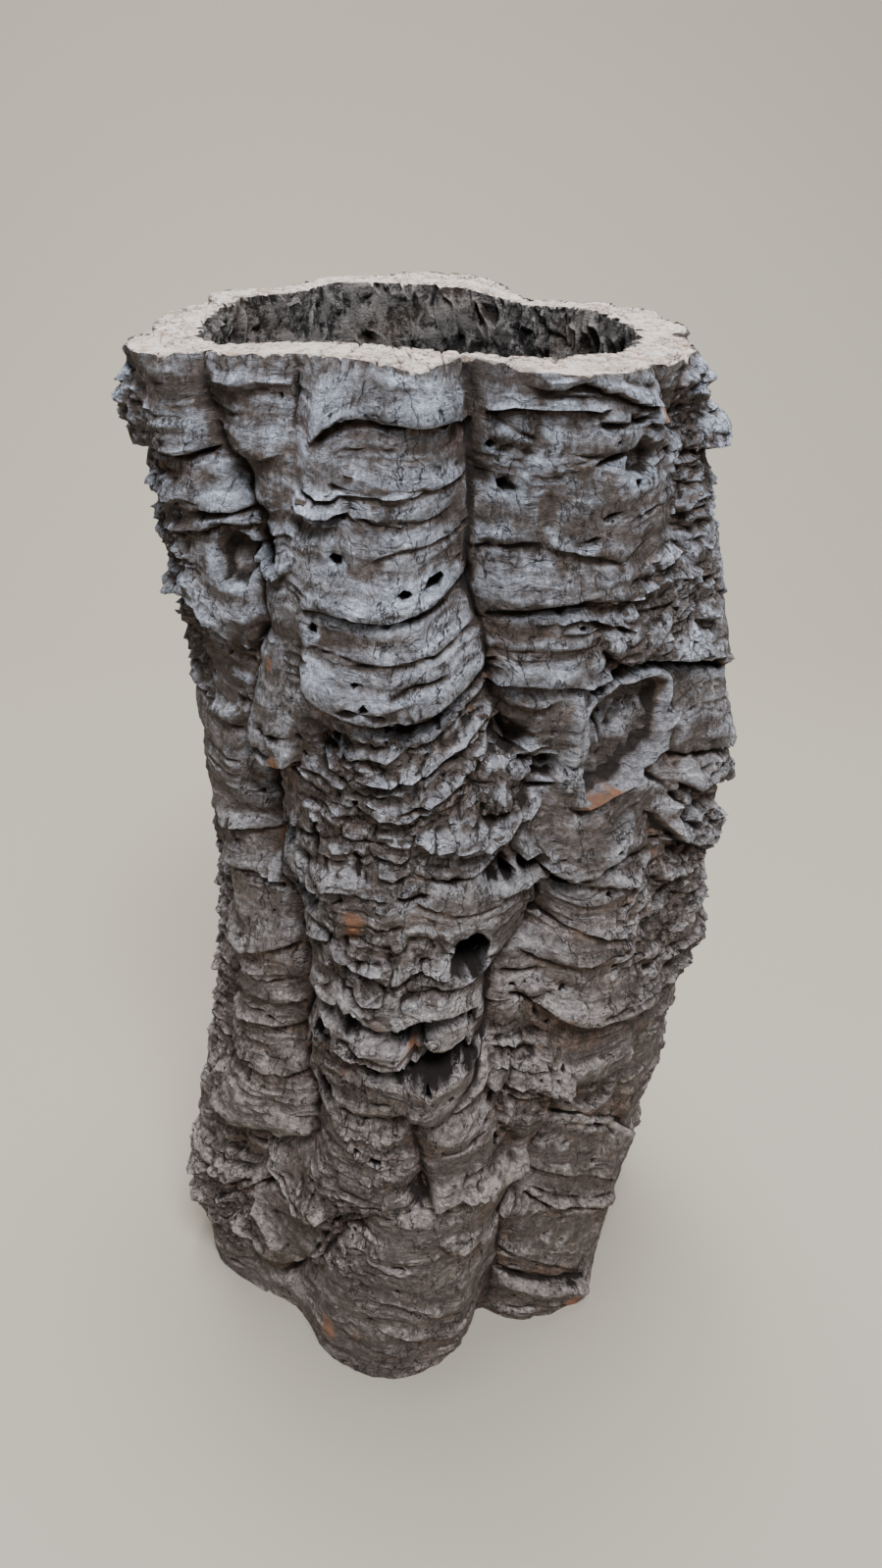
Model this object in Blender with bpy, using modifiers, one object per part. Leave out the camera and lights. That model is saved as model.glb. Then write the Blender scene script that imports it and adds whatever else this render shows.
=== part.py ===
"""Cork branch: one hollow length of cork bark, sawn flat at both ends and standing upright.

It is a single grown piece. A plain turned tube is made with a Screw modifier, and every one of its
points is then carried out to the bark: the lobed outlines first, then the furrows that part the lobes,
the ledges that each year's growth leaves, the knot, the lumps and the pits. Holes that go right
through the wall are cut last.

Places on the bark are (angle, height): degrees round the tube, 0 at the front and positive to the
right, and millimetres above the foot. Radii and depths are in millimetres.
"""

import math
from collections import namedtuple

import bmesh
import bpy
import numpy as np
from mathutils import Matrix

MM = 0.001  # metres in a millimetre
LENGTH = 500.0
MEAN_RADIUS = 122.0
MM_PER_DEGREE = math.radians(MEAN_RADIUS)
LEAST_WALL = 12.0
BOX_MIDDLE = (6.65, -2.85)  # the middle of the branch's box, measured from the axis of the hollow
BARK_COLOUR = (0.27, 0.225, 0.185, 1.0)
BARK_ROUGHNESS = 0.9

# The plain tube that the bark is carried out from.
STEPS_ROUND = 250
ROWS_UP = 190
ROWS_ACROSS_WALL = 4
PLAIN_INNER = 60.0
PLAIN_OUTER = 100.0
TRIANGLES = 9300

# Outlines of the tube seen from above, as (angle, radius), from the foot to the sawn rim.
FOOT = [(-150, 121), (-120, 122), (-90, 130), (-66, 134), (-50, 122), (-38, 116), (-24, 129), (-3, 130),
        (8, 118), (17, 106), (30, 114), (45, 120), (64, 114), (90, 114), (120, 118), (150, 124), (180, 126)]
CALF = [(-150, 118), (-120, 118), (-90, 130), (-70, 136), (-50, 124), (-38, 117), (-22, 130), (-3, 134),
        (8, 130), (17, 117), (30, 116), (45, 116), (70, 127), (90, 126), (120, 122), (150, 126), (180, 126)]
WAIST = [(-150, 112), (-120, 108), (-90, 110), (-70, 114), (-50, 117), (-30, 118), (-20, 128), (0, 136),
         (12, 128), (20, 118), (35, 124), (50, 131), (70, 139), (90, 138), (120, 124), (150, 122), (180, 124)]
CHEST = [(-150, 112), (-120, 106), (-90, 104), (-70, 108), (-50, 114), (-30, 117), (-20, 124), (0, 130),
         (12, 122), (25, 124), (40, 130), (55, 138), (72, 148), (90, 146), (120, 126), (150, 118), (180, 122)]
NECK = [(-150, 112), (-120, 108), (-90, 114), (-70, 117), (-50, 120), (-30, 119), (-20, 122), (0, 128),
        (9, 116), (20, 127), (35, 130), (50, 128), (72, 130), (90, 126), (120, 116), (150, 116), (180, 126)]
RIM = [(-158, 122), (-138, 100), (-126, 112), (-105, 109), (-88, 112), (-70, 122), (-50, 124), (-36, 114),
       (-24, 106), (-10, 110), (1, 124), (10, 110), (19, 127), (30, 132), (45, 130), (60, 119), (80, 115),
       (94, 118), (104, 110), (122, 118), (134, 112), (150, 106), (164, 128), (-178, 138)]
OUTLINES = [(0, FOOT), (80, CALF), (200, WAIST), (330, CHEST), (430, NECK), (LENGTH, RIM)]
HOLLOW = [(-152, 91), (-131, 76), (-119, 84), (-95, 85), (-60, 89), (-36, 78), (-21, 75), (-6, 80), (6, 84),
          (16, 88), (30, 93), (45, 89), (62, 88), (84, 88), (105, 84), (122, 82), (142, 79), (160, 82),
          (176, 85)]
HOLLOW_BELOW = [(-150, 88), (-90, 84), (-30, 86), (30, 90), (90, 94), (150, 88)]
HOLLOW_EASES_OVER = 160.0
# The saw ran a little out of true, so the rim lies this far below the full length, as (angle, drop).
RIM_DROP = [(-160, 0), (-115, 0), (-76, 4), (-58, 4), (-35, 1), (0, 0), (22, 2), (42, 5), (70, 7), (95, 7),
            (120, 5), (150, 6), (166, 2)]
DROP_REACHES = 40.0
FOOT_SPARE = 8.0  # grown past the foot, and sawn off flat

# A furrow is a path of (angle, height) down the bark, half its width and its depth.
Furrow = namedtuple("Furrow", "path width depth")
# A ledge is a path of (angle, height) round the bark. The bark above the path swells over `run` and
# stands out by `lip` at the path. A negative lip is a shelf: the bark below the path stands out.
Ledge = namedtuple("Ledge", "path lip run")
# A lump or pit is an oval: its middle, half its width and half its height, and how far it stands out.
Oval = namedtuple("Oval", "angle height half_width half_height out")

FURROWS = [
    Furrow([(10.5, 510), (10, 480), (9.5, 465), (10, 450), (9.5, 422), (13.5, 402), (15, 384),
            (16, 374)], 6, 12),
    Furrow([(16, 374), (21, 352), (22, 340), (20, 325), (19, 303)], 6, 8),
    Furrow([(28, 302), (27, 290), (26, 275), (23, 264), (16, 250), (14.5, 235), (14, 215), (12, 199),
            (6, 184), (0, 178)], 6, 15),
    Furrow([(-1, 184), (-2, 170), (-1, 158), (0, 148), (-2, 138), (-1, 124)], 5, 10),
    Furrow([(-43, 510), (-43, 485), (-42, 468), (-36, 455), (-32, 444), (-34.5, 432), (-33, 412), (-32, 403),
            (-38, 393), (-39, 380), (-41, 352), (-36, 336), (-35, 310), (-36, 295), (-31, 276)], 6, 12),
    Furrow([(-31, 276), (-29, 255), (-27, 243), (-29, 230), (-31, 205), (-29, 185), (-26.5, 165), (-28, 148),
            (-37, 135), (-44, 124)], 6, 13),
    Furrow([(-24, 510), (-23.5, 480), (-24.5, 450), (-22.5, 410), (-20, 370), (-19, 350)], 2.5, 3),
    Furrow([(42, 510), (47, 488), (51, 478), (55, 462), (57, 445), (58, 425)], 7, 10),
    Furrow([(36, 178), (35, 160), (34, 140), (29, 122), (26, 105), (22, 90), (22, 50), (20, 25),
            (17, -FOOT_SPARE)], 6, 12),
    Furrow([(-10, 120), (-14, 108), (-19, 97), (-22, 85), (-26, 66), (-31, 50), (-37, 36), (-46, 18)], 5, 10),
    Furrow([(66, 210), (62, 190), (58, 165), (56, 140), (58, 118), (66, 100)], 6, 8),
    Furrow([(-58, 300), (-60, 260), (-57, 220), (-60, 180), (-64, 140), (-62, 100)], 6, 6),
]
TOP_LEFT_LEDGES = [
    Ledge([(-70, 461), (-56, 462), (-48, 463), (-42, 467)], 7, 34),
    Ledge([(-62, 446), (-46, 443), (-38, 445), (-31, 450)], 5, 14),
    Ledge([(-60, 430), (-45, 436), (-38, 441), (-34, 441)], 5, 6),
    Ledge([(-66, 400), (-52, 407), (-47, 406), (-43, 397), (-39, 390), (-36, 394)], 7, 16),
    Ledge([(-64, 362), (-52, 356), (-44, 352)], 3, 20),
    Ledge([(-64, 298), (-49, 303), (-42, 307), (-35, 309)], 5, 10),
    Ledge([(-62, 276), (-50, 283), (-42, 287), (-36, 285)], 5, 14),
    Ledge([(-42, 487), (-36, 486), (-30, 489), (-24, 488)], 3, 9),
    Ledge([(-42, 468), (-36, 466), (-30, 465), (-24, 470)], 4, 14),
    Ledge([(-35, 422), (-31, 420), (-27, 420), (-22, 425)], 6, 8),
    Ledge([(-42, 351), (-38, 345), (-33, 344), (-28, 349), (-24, 354)], 8, 44),
    Ledge([(-37, 318), (-32, 312), (-27, 320), (-20, 324)], 4, 10),
    Ledge([(-34, 299), (-27, 301), (-22, 298), (-15, 300)], 6, 11),
]
TOP_MIDDLE_LEDGES = [
    Ledge([(-20, 482), (-15, 479), (-11, 482), (-8, 484), (0, 482), (6, 481), (10, 480)], 9, 17),
    Ledge([(-21, 458), (-16, 456), (-12, 459), (-4, 458), (3, 461), (10, 463)], 4, 8),
    Ledge([(-12, 452), (-4, 450), (2, 452), (8, 455)], 3, 5),
    Ledge([(-8, 439), (-2, 443), (4, 444), (10, 446)], 3, 9),
    Ledge([(-20, 418), (-12, 419), (-4, 418), (3, 422), (10, 428)], 5, 9),
    Ledge([(-11, 402), (-3, 402), (4, 405), (10, 410)], 3, 8),
    Ledge([(-12, 383), (-8, 381), (-2, 381), (4, 385), (9, 390), (14, 397)], 11, 27),
    Ledge([(-7, 374), (0, 379), (6, 384), (11, 389), (15, 393)], 4, 5),
    Ledge([(-15, 361), (-6, 364), (0, 369), (6, 376), (12, 383), (16, 388)], 5, 6),
    Ledge([(-9, 352), (0, 356), (6, 362), (12, 370), (15, 374)], 5, 6),
    Ledge([(-3, 342), (4, 346), (8, 350), (14, 362)], 5, 7),
    Ledge([(-16, 336), (-8, 340), (-2, 338)], 4, 8),
    Ledge([(1, 328), (8, 322), (13, 321), (18, 324), (23, 333)], 9, 12),
    Ledge([(0, 314), (6, 307), (11, 308), (15, 313)], 5, 7),
    Ledge([(16, 297), (20, 298), (24, 300), (28, 303)], 6, 6),
    Ledge([(-2, 303), (6, 293), (12, 289), (20, 290), (27, 296)], 3, 7),
]
TOP_RIGHT_LEDGES = [
    Ledge([(13, 483), (17, 487), (22, 489), (29, 488)], 5, 5),
    Ledge([(19, 494), (25, 497), (31, 494), (36, 490), (42, 486)], 5, 8),
    Ledge([(29, 484), (34, 482), (39, 485)], 4, 6),
    Ledge([(11, 462), (16, 463), (23, 465)], 2, 8),
    Ledge([(10, 437), (14, 438), (19, 441), (23, 440), (30, 436), (35, 432), (39, 436)], 3, 12),
    Ledge([(11, 411), (16, 415), (22, 419), (28, 418), (37, 417)], 5, 22),
    Ledge([(21, 412), (30, 411), (35, 407), (38, 404)], 4, 4),
    Ledge([(13, 401), (20, 402), (26, 400), (31, 401)], 2, 8),
    Ledge([(14, 387), (20, 389), (26, 388), (30, 385), (33, 392)], 8, 13),
    Ledge([(16, 379), (20, 377), (24, 379)], 4, 8),
    Ledge([(40, 480), (46, 477), (52, 480)], 5, 12),
    Ledge([(46, 458), (56, 462), (66, 458), (78, 460)], 6, 16),
    Ledge([(52, 440), (60, 436), (70, 438)], 4, 12),
    Ledge([(33, 399), (38, 391), (44, 388), (50, 386), (56, 381), (62, 377), (70, 368), (80, 360)], 9, 24),
    Ledge([(49, 346), (56, 341), (62, 337), (70, 331), (84, 322)], 9, 30),
    Ledge([(52, 331), (60, 321), (68, 315), (84, 302)], 7, 12),
    Ledge([(43, 333), (47, 319), (52, 306), (58, 296), (64, 287)], 8, 15),
    Ledge([(21, 318), (26, 308), (31, 301), (36, 304), (42, 309)], 7, 18),
]
MIDDLE_LEDGES = [
    Ledge([(-60, 244), (-50, 242), (-46, 241), (-40, 246), (-31, 255)], 7, 16),
    Ledge([(-56, 226), (-42, 228), (-35, 232), (-28, 238)], 4, 8),
    Ledge([(-54, 210), (-40, 217), (-31, 220)], 4, 9),
    Ledge([(-52, 196), (-40, 202), (-31, 207)], 4, 8),
    Ledge([(-60, 172), (-48, 171), (-42, 172), (-35, 177), (-28, 184)], 5, 13),
    Ledge([(-68, 133), (-55, 134), (-48, 131), (-42, 133), (-37, 138), (-28, 147)], 11, 36),
    Ledge([(-29, 262), (-24, 257), (-18, 258), (-12, 252), (-6, 253), (-1, 250)], 7, 15),
    Ledge([(-18, 222), (-10, 221), (-6, 222), (0, 226)], 8, 13),
    Ledge([(1, 262), (6, 257), (12, 257), (18, 261), (25, 270)], 6, 13),
    Ledge([(-3, 180), (4, 181), (8, 184), (11, 190), (14, 200)], 11, 24),
    Ledge([(26, 299), (32, 293), (38, 290), (46, 284)], 7, 9),
    Ledge([(25, 281), (32, 270), (38, 262), (46, 256)], 4, 16),
    Ledge([(23, 258), (30, 252), (36, 248), (46, 250)], 4, 12),
    Ledge([(23, 236), (27, 229), (31, 222), (35, 216), (40, 213), (46, 211), (54, 213)], 8, 22),
    Ledge([(14, 192), (20, 188), (26, 183), (32, 179), (38, 175), (44, 175), (50, 181)], 9, 26),
]
LOWER_LEDGES = [
    Ledge([(2, 132), (4, 134), (7, 138), (11, 138), (16, 131), (21, 129), (26, 132)], 11, 18),
    Ledge([(19, 160), (24, 152), (28, 149), (31, 153)], 6, 26),
    Ledge([(4, 104), (8, 98), (12, 90), (17, 83), (21, 82), (25, 93)], 6, 16),
    Ledge([(-10, 41), (-2, 33), (4, 25), (9, 16), (15, 8)], 4, 14),
    Ledge([(-16, 64), (-5, 58), (2, 50), (10, 38)], 2, 10),
    Ledge([(-20, 30), (-12, 24), (-4, 18)], 3, 10),
    Ledge([(35, 148), (42, 143), (48, 135), (54, 126), (60, 110), (68, 92)], -5, 20),
    Ledge([(27, 118), (36, 110), (44, 98), (52, 85), (62, 66)], 3, 11),
    Ledge([(29, 98), (38, 84), (46, 72), (54, 60), (64, 44)], 6, 14),
    Ledge([(22, 58), (30, 50), (38, 38), (46, 22)], 3, 10),
    Ledge([(21, 40), (30, 34), (36, 28), (42, 21), (48, 12)], -9, 22),
    Ledge([(-46, 120), (-40, 106), (-36, 97), (-33, 94), (-28, 96), (-23, 105)], 9, 22),
    Ledge([(-48, 82), (-45, 64), (-42, 50), (-38, 40), (-33, 46), (-27, 60)], 8, 26),
    Ledge([(-56, 56), (-52, 44), (-48, 30), (-44, 28), (-39, 36)], 6, 13),
    Ledge([(-72, 84), (-62, 82), (-55, 84), (-48, 90), (-44, 96)], 6, 12),
    Ledge([(-80, 40), (-70, 44), (-58, 36)], 5, 18),
]
LUMPS = [
    Oval(5, 231, 13, 10, 8),  # the loose-looking knob in the broken opening
    Oval(13, 271, 5, 4, 5),  # the nub in the round hole
    Oval(-34, 288, 7, 8, 5),
    Oval(-72, 477, 26, 12, 5),
    Oval(-76, 56, 26, 26, 5),
    Oval(29, 358, 4, 22, 4),  # the pillar left of the knot
    Oval(52, 322, 9, 20, 5),
    Oval(72, 467, 16, 10, 6),
    Oval(62, 490, 18, 9, 6),
    Oval(74, 228, 20, 14, 5),
    Oval(76, 135, 20, 22, 5),
    Oval(26, 176, 14, 18, 8),
    Oval(-12, 300, 18, 16, 4),
    Oval(33, 386, 5, 4, 5),
]
PITS = [
    Oval(-31, 433, 7, 7, -10),
    Oval(-39, 431, 9, 7, -6),
    Oval(-24.5, 291, 8, 8, -11),
    Oval(-30, 316, 6, 6, -8),
    Oval(-36, 333, 5, 7, -7),
    Oval(17, 363, 8, 8, -9),
    Oval(25, 350, 5, 6, -8),
    Oval(18.5, 302, 6, 7, -10),
    Oval(-15, 367, 6, 5, -6),
    Oval(-4, 376, 9, 4, -6),
    Oval(-5, 216, 16, 6, -14),
    Oval(4, 216, 14, 8, -16),
    Oval(0, 243, 7, 10, -14),
    Oval(-13, 246, 10, 9, -14),
    Oval(10.5, 275, 9, 9, -14),
    Oval(-1, 136, 6, 9, -9),
    Oval(-21, 223, 5, 9, -8),
    Oval(-22, 188, 6, 8, -8),
    Oval(-50, 108, 16, 20, -6),
    Oval(-52, 380, 26, 22, -5),
    Oval(38, 468, 7, 7, -6),
    Oval(58, 312, 12, 10, -10),
    Oval(45, 160, 16, 12, -5),
]
# Holes right through the wall, cut with round tools.
HOLES = [
    Oval(9.5, 276, 6.5, 7, 0),
    Oval(4, 217, 8, 4, 0),
    Oval(-13, 247, 5, 5.5, 0),
]
# Where the bark is broken up into crags: the last number is how much of the crags' height it has.
CRAGGY = [
    Oval(2, 350, 50, 34, 1), Oval(52, 405, 40, 26, 1), Oval(66, 460, 40, 40, 1),
    Oval(-66, 430, 36, 70, 0.8), Oval(60, 270, 36, 60, 0.9), Oval(-8, 275, 40, 26, 0.8),
    Oval(-66, 200, 32, 80, 0.8), Oval(-12, 150, 30, 40, 0.7), Oval(24, 178, 20, 26, 0.7),
    Oval(-64, 70, 36, 50, 0.9), Oval(-22, 100, 26, 40, 0.7), Oval(-14, 320, 30, 30, 0.7),
]
# The knot: its middle, and the edge of its bowl round that as (direction, millimetres), direction 0
# being to the right and 90 straight up.
KNOT_ANGLE, KNOT_HEIGHT = 38.5, 358
KNOT_EDGE = [(-145, 22.4), (-125, 29), (-106, 20), (-84, 15.5), (-42, 14.2), (9, 17), (36, 23), (51, 27),
             (78, 25), (111, 25.4), (131, 26), (150, 21.3), (180, 18.5)]
KNOT_DEPTH = 16.0
KNOT_WALL = 5.0
COLLAR_HEIGHT = 7.0
COLLAR_WIDTH = 3.5
COLLAR_TURN = math.radians(35)  # how far below the right-hand side the collar is at its strongest
RELIEF_SETTLES = 4.0  # the outlines touch the crests, so the ground between them lies this far in
CRAG_HEIGHT = 3.0
ROLL_HEIGHT = 1.6
BACK_STARTS = 80
BACK_SEED = 7
EDGE_FADE = 3.0  # degrees over which a ledge dies out at its ends


def eased(x):
    """0 below 0, 1 above 1, and a smooth rise between."""
    x = np.clip(x, 0, 1)
    return x * x * (3 - 2 * x)


def wrapped(angle):
    """The angle brought to between -180 and 180 degrees."""
    return (np.asarray(angle) + 180) % 360 - 180


def hermite(t, step, left, right, slope_left, slope_right):
    """A smooth curve from left to right as t goes from 0 to 1."""
    return ((2 * t**3 - 3 * t**2 + 1) * left + (t**3 - 2 * t**2 + t) * step * slope_left
            + (3 * t**2 - 2 * t**3) * right + (t**3 - t**2) * step * slope_right)


def outline_radius(outline, angle):
    """The radius of a closed outline of (angle, radius) points at each angle."""
    points = sorted(outline)
    before = [(a - 360, r) for a, r in points[-3:]]
    after = [(a + 360, r) for a, r in points[:3]]
    angles, radii = np.array(before + points + after, float).T
    slopes = np.gradient(radii, angles)
    i = np.clip(np.searchsorted(angles, angle) - 1, 0, len(angles) - 2)
    step = angles[i + 1] - angles[i]
    return hermite((angle - angles[i]) / step, step, radii[i], radii[i + 1], slopes[i], slopes[i + 1])


def trunk_radius(angle, height):
    """The lobed body of the tube, before any relief."""
    levels = np.array([level for level, _ in OUTLINES], float)
    radii = np.stack([outline_radius(outline, angle) for _, outline in OUTLINES])
    slopes = np.gradient(radii, levels, axis=0)
    i = np.clip(np.searchsorted(levels, height) - 1, 0, len(levels) - 2)
    step = levels[i + 1] - levels[i]
    t = np.clip((height - levels[i]) / step, 0, 1)
    here = np.arange(len(angle))
    return hermite(t, step, radii[i, here], radii[i + 1, here], slopes[i, here], slopes[i + 1, here])


def hollow_radius(angle, height):
    """The inside of the tube: the outline seen at the rim, easing to a rounder one below it."""
    low = eased((LENGTH - height) / HOLLOW_EASES_OVER)
    return outline_radius(HOLLOW, angle) * (1 - low) + outline_radius(HOLLOW_BELOW, angle) * low


def scrambled(column, row, seed):
    """A repeatable random number from 0 to 1 for each cell of a grid."""
    mask = np.uint64(0xFFFFFFFF)
    h = (column.astype(np.uint64) * np.uint64(374761393) + row.astype(np.uint64) * np.uint64(668265263)
         + np.uint64(seed * 97531)) & mask
    h = ((h ^ (h >> np.uint64(13))) * np.uint64(1274126177)) & mask
    return ((h ^ (h >> np.uint64(16))) & mask) / 2.0**32


def noise(angle, height, across, up, seed):
    """Smooth noise from about -1 to 1 in cells of across by up, closed round the tube."""
    around = max(3, round(2 * math.pi * MEAN_RADIUS / across))
    u = wrapped(angle) / 360 * around + around
    v = height / up + 50
    column, row = np.floor(u), np.floor(v)
    fu, fv = u - column, v - row
    total = 0
    for right in (0, 1):
        for above in (0, 1):
            turn = 2 * math.pi * scrambled((column + right) % around, row + above, seed)
            reach = np.cos(turn) * (fu - right) + np.sin(turn) * (fv - above)
            total = total + reach * eased(1 - abs(fu - right)) * eased(1 - abs(fv - above))
    return 1.5 * total


def oval_distance(angle, height, oval, ragged):
    """0 at an oval's middle and 1 on its edge."""
    across = wrapped(angle - oval.angle) * MM_PER_DEGREE / oval.half_width
    up = (height - oval.height) / oval.half_height
    return np.hypot(across, up) + ragged


def furrow_relief(angle, height, furrow, wobble):
    """A furrow is sharp at its bottom, and the lobes on both sides round over into it."""
    heights, angles = np.array([(h, a) for a, h in reversed(furrow.path)], float).T
    lean = np.interp(height, heights, np.gradient(angles, heights)) * MM_PER_DEGREE
    off = wrapped(angle - np.interp(height, heights, angles)) * MM_PER_DEGREE
    off = abs(off + wobble) / np.hypot(1, lean) / furrow.width
    fade = eased((height - heights[0] + 8) / 16) * eased((heights[-1] - height + 8) / 16)
    return -furrow.depth * fade * (0.55 * np.exp(-off**1.3) + 0.45 * np.exp(-((off / 3) ** 2)))


def ledge_relief(angle, height, ledge, wobble):
    """How far a ledge carries the bark out, and how far its lip droops."""
    angles, heights = np.array(ledge.path, float).T
    centre = (angles[0] + angles[-1]) / 2
    here = wrapped(angle - centre) + centre
    above = height - np.interp(here, angles, heights) + wobble
    fade = eased((here - angles[0]) / EDGE_FADE + 0.5) * eased((angles[-1] - here) / EDGE_FADE + 0.5)
    lip = abs(ledge.lip)
    side = above if ledge.lip > 0 else -above
    crest = (0.4 + 0.6 * eased(side / 3)) * (1 - eased(side / ledge.run))
    recess = -0.45 * np.exp(np.minimum(side, 0) / (3 + 0.25 * ledge.run))
    out = lip * fade * np.where(side > 0, crest, recess)
    droop = lip * fade * 0.35 * np.exp(-((side - 1) / 4) ** 2) * (side > 0) * np.sign(ledge.lip)
    return out, droop


def with_the_knot(relief, angle, height):
    """The relief with a healed branch stub in it: a steep bowl, and a collar on its right and below."""
    across = wrapped(angle - KNOT_ANGLE) * MM_PER_DEGREE
    up = height - KNOT_HEIGHT
    direction = np.arctan2(up, across)
    beyond = np.hypot(across, up) - outline_radius(KNOT_EDGE, np.degrees(direction))
    relief = relief * (0.2 + 0.8 * eased((beyond - COLLAR_WIDTH) / 7))
    collar = eased((np.cos(direction + COLLAR_TURN) + 0.45) / 0.6)
    relief = relief + COLLAR_HEIGHT * collar * np.exp(-(((beyond - COLLAR_WIDTH) / COLLAR_WIDTH) ** 2))
    return relief - KNOT_DEPTH * (1 - eased((beyond + KNOT_WALL) / KNOT_WALL))


def back_of_the_tube():
    """Furrows and ledges for the side that faces away, in the same habit as the front."""
    rng = np.random.default_rng(BACK_SEED)
    starts = np.linspace(BACK_STARTS, 360 - BACK_STARTS, 8) + rng.uniform(-5, 5, 8)
    heights = np.linspace(LENGTH + FOOT_SPARE, -FOOT_SPARE, 8)
    courses = [start + np.cumsum(rng.uniform(-7, 7, len(heights))) for start in starts]
    furrows = []
    for course in courses:
        furrows.append(Furrow(list(zip(course, heights)), rng.uniform(5, 9), rng.uniform(7, 15)))
    ledges = []
    for left, right in zip(courses, courses[1:]):
        height = rng.uniform(12, 34)
        while height < LENGTH - 8:
            a = np.interp(height, heights[::-1], left[::-1])
            b = np.interp(height, heights[::-1], right[::-1])
            a, b = a + rng.uniform(-4, 0.3 * (b - a)), b + rng.uniform(-0.3 * (b - a), 4)
            slant, sag = rng.uniform(-10, 10), rng.uniform(-6, 3)
            path = [(a, height - slant), ((a + b) / 2, height + sag), (b, height + slant)]
            ledges.append(Ledge(path, rng.uniform(3, 10), rng.uniform(8, 32)))
            height += rng.uniform(12, 44)
    return furrows, ledges


def craggy_share(angle, height):
    """1 where the bark is broken up, 0 where it grew in smooth bands."""
    share = 0.8 * eased(1.5 * noise(angle, height, 90, 110, 10)) * (abs(wrapped(angle)) > BACK_STARTS)
    for zone in CRAGGY:
        share = np.maximum(share, zone.out * eased(1.5 - oval_distance(angle, height, zone, 0)))
    return share


def bark(angle, height):
    """The radius of the bark's outside at each place, and the height that each point droops to."""
    wobble = 1.5 * noise(angle, height, 26, 20, 1) + 0.8 * noise(angle, height, 10, 8, 2)
    sideways = 3.0 * noise(angle, height, 18, 30, 3)
    ragged = 0.22 * noise(angle, height, 9, 9, 4)
    back_furrows, back_ledges = back_of_the_tube()
    relief = np.zeros_like(angle)
    droop = np.zeros_like(angle)
    for furrow in FURROWS + back_furrows:
        relief += furrow_relief(angle, height, furrow, sideways)
    front_ledges = TOP_LEFT_LEDGES + TOP_MIDDLE_LEDGES + TOP_RIGHT_LEDGES + MIDDLE_LEDGES + LOWER_LEDGES
    for ledge in front_ledges + back_ledges:
        out, down = ledge_relief(angle, height, ledge, wobble)
        relief += out
        droop += down
    for lump in LUMPS:
        relief += lump.out * eased(1.4 - oval_distance(angle, height, lump, ragged))
    for pit in PITS:
        relief += pit.out * eased((1.25 - oval_distance(angle, height, pit, ragged)) / 0.5)
    relief = with_the_knot(relief, angle, height)
    craggy = craggy_share(angle, height)
    relief += craggy * CRAG_HEIGHT * (noise(angle, height, 15, 12, 5) + 0.7 * noise(angle, height, 8, 7, 6))
    relief += (1 - craggy) * ROLL_HEIGHT * noise(angle, height, 46, 11, 7)
    radius = trunk_radius(angle, height) + relief - RELIEF_SETTLES
    return radius, height - droop * eased((LENGTH - height) / 12)


def inside(angle, height):
    """The radius of the hollow, gently uneven, and well clear of the trunk's outline."""
    uneven = 2.2 * noise(angle, height, 60, 70, 8) + 1.0 * noise(angle, height, 22, 26, 9)
    return np.minimum(hollow_radius(angle, height) + uneven, trunk_radius(angle, height) - 1.7 * LEAST_WALL)


def below_the_saw(angle, height):
    """Heights near the rim are brought down to where the saw passed."""
    return height - outline_radius(RIM_DROP, angle) * eased((height - LENGTH + DROP_REACHES) / DROP_REACHES)


def clear_scene():
    for obj in list(bpy.data.objects):
        bpy.data.objects.remove(obj)


def new_collection(name):
    collection = bpy.data.collections.new(name)
    bpy.context.scene.collection.children.link(collection)
    return collection


def cork_material():
    material = bpy.data.materials.new("weathered_cork")
    material.use_nodes = True
    shader = material.node_tree.nodes["Principled BSDF"]
    shader.inputs["Base Color"].default_value = BARK_COLOUR
    shader.inputs["Roughness"].default_value = BARK_ROUGHNESS
    shader.inputs["Metallic"].default_value = 0.0
    return material


def wall_section():
    """The section of the plain tube's wall, a closed loop of points from the foot up its outside."""
    up = np.linspace(-FOOT_SPARE, LENGTH, ROWS_UP + 1)
    across = np.linspace(PLAIN_OUTER, PLAIN_INNER, ROWS_ACROSS_WALL + 1)
    loop = [(PLAIN_OUTER, h) for h in up]
    loop += [(r, LENGTH) for r in across[1:-1]]
    loop += [(PLAIN_INNER, h) for h in up[::-1]]
    loop += [(r, -FOOT_SPARE) for r in across[::-1][1:-1]]
    return loop


def turned_tube(collection):
    """The plain tube: the wall's section turned once round the Z axis."""
    loop = wall_section()
    section = bpy.data.meshes.new("wall_section")
    points = [(r * MM, 0, h * MM) for r, h in loop]
    edges = [(i, (i + 1) % len(loop)) for i in range(len(loop))]
    section.from_pydata(points, edges, [])
    tube = bpy.data.objects.new("plain_tube", section)
    collection.objects.link(tube)
    turn = tube.modifiers.new("turn", "SCREW")
    turn.steps = turn.render_steps = STEPS_ROUND
    turn.use_merge_vertices = True
    turn.merge_threshold = 0.00001
    return tube


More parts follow.
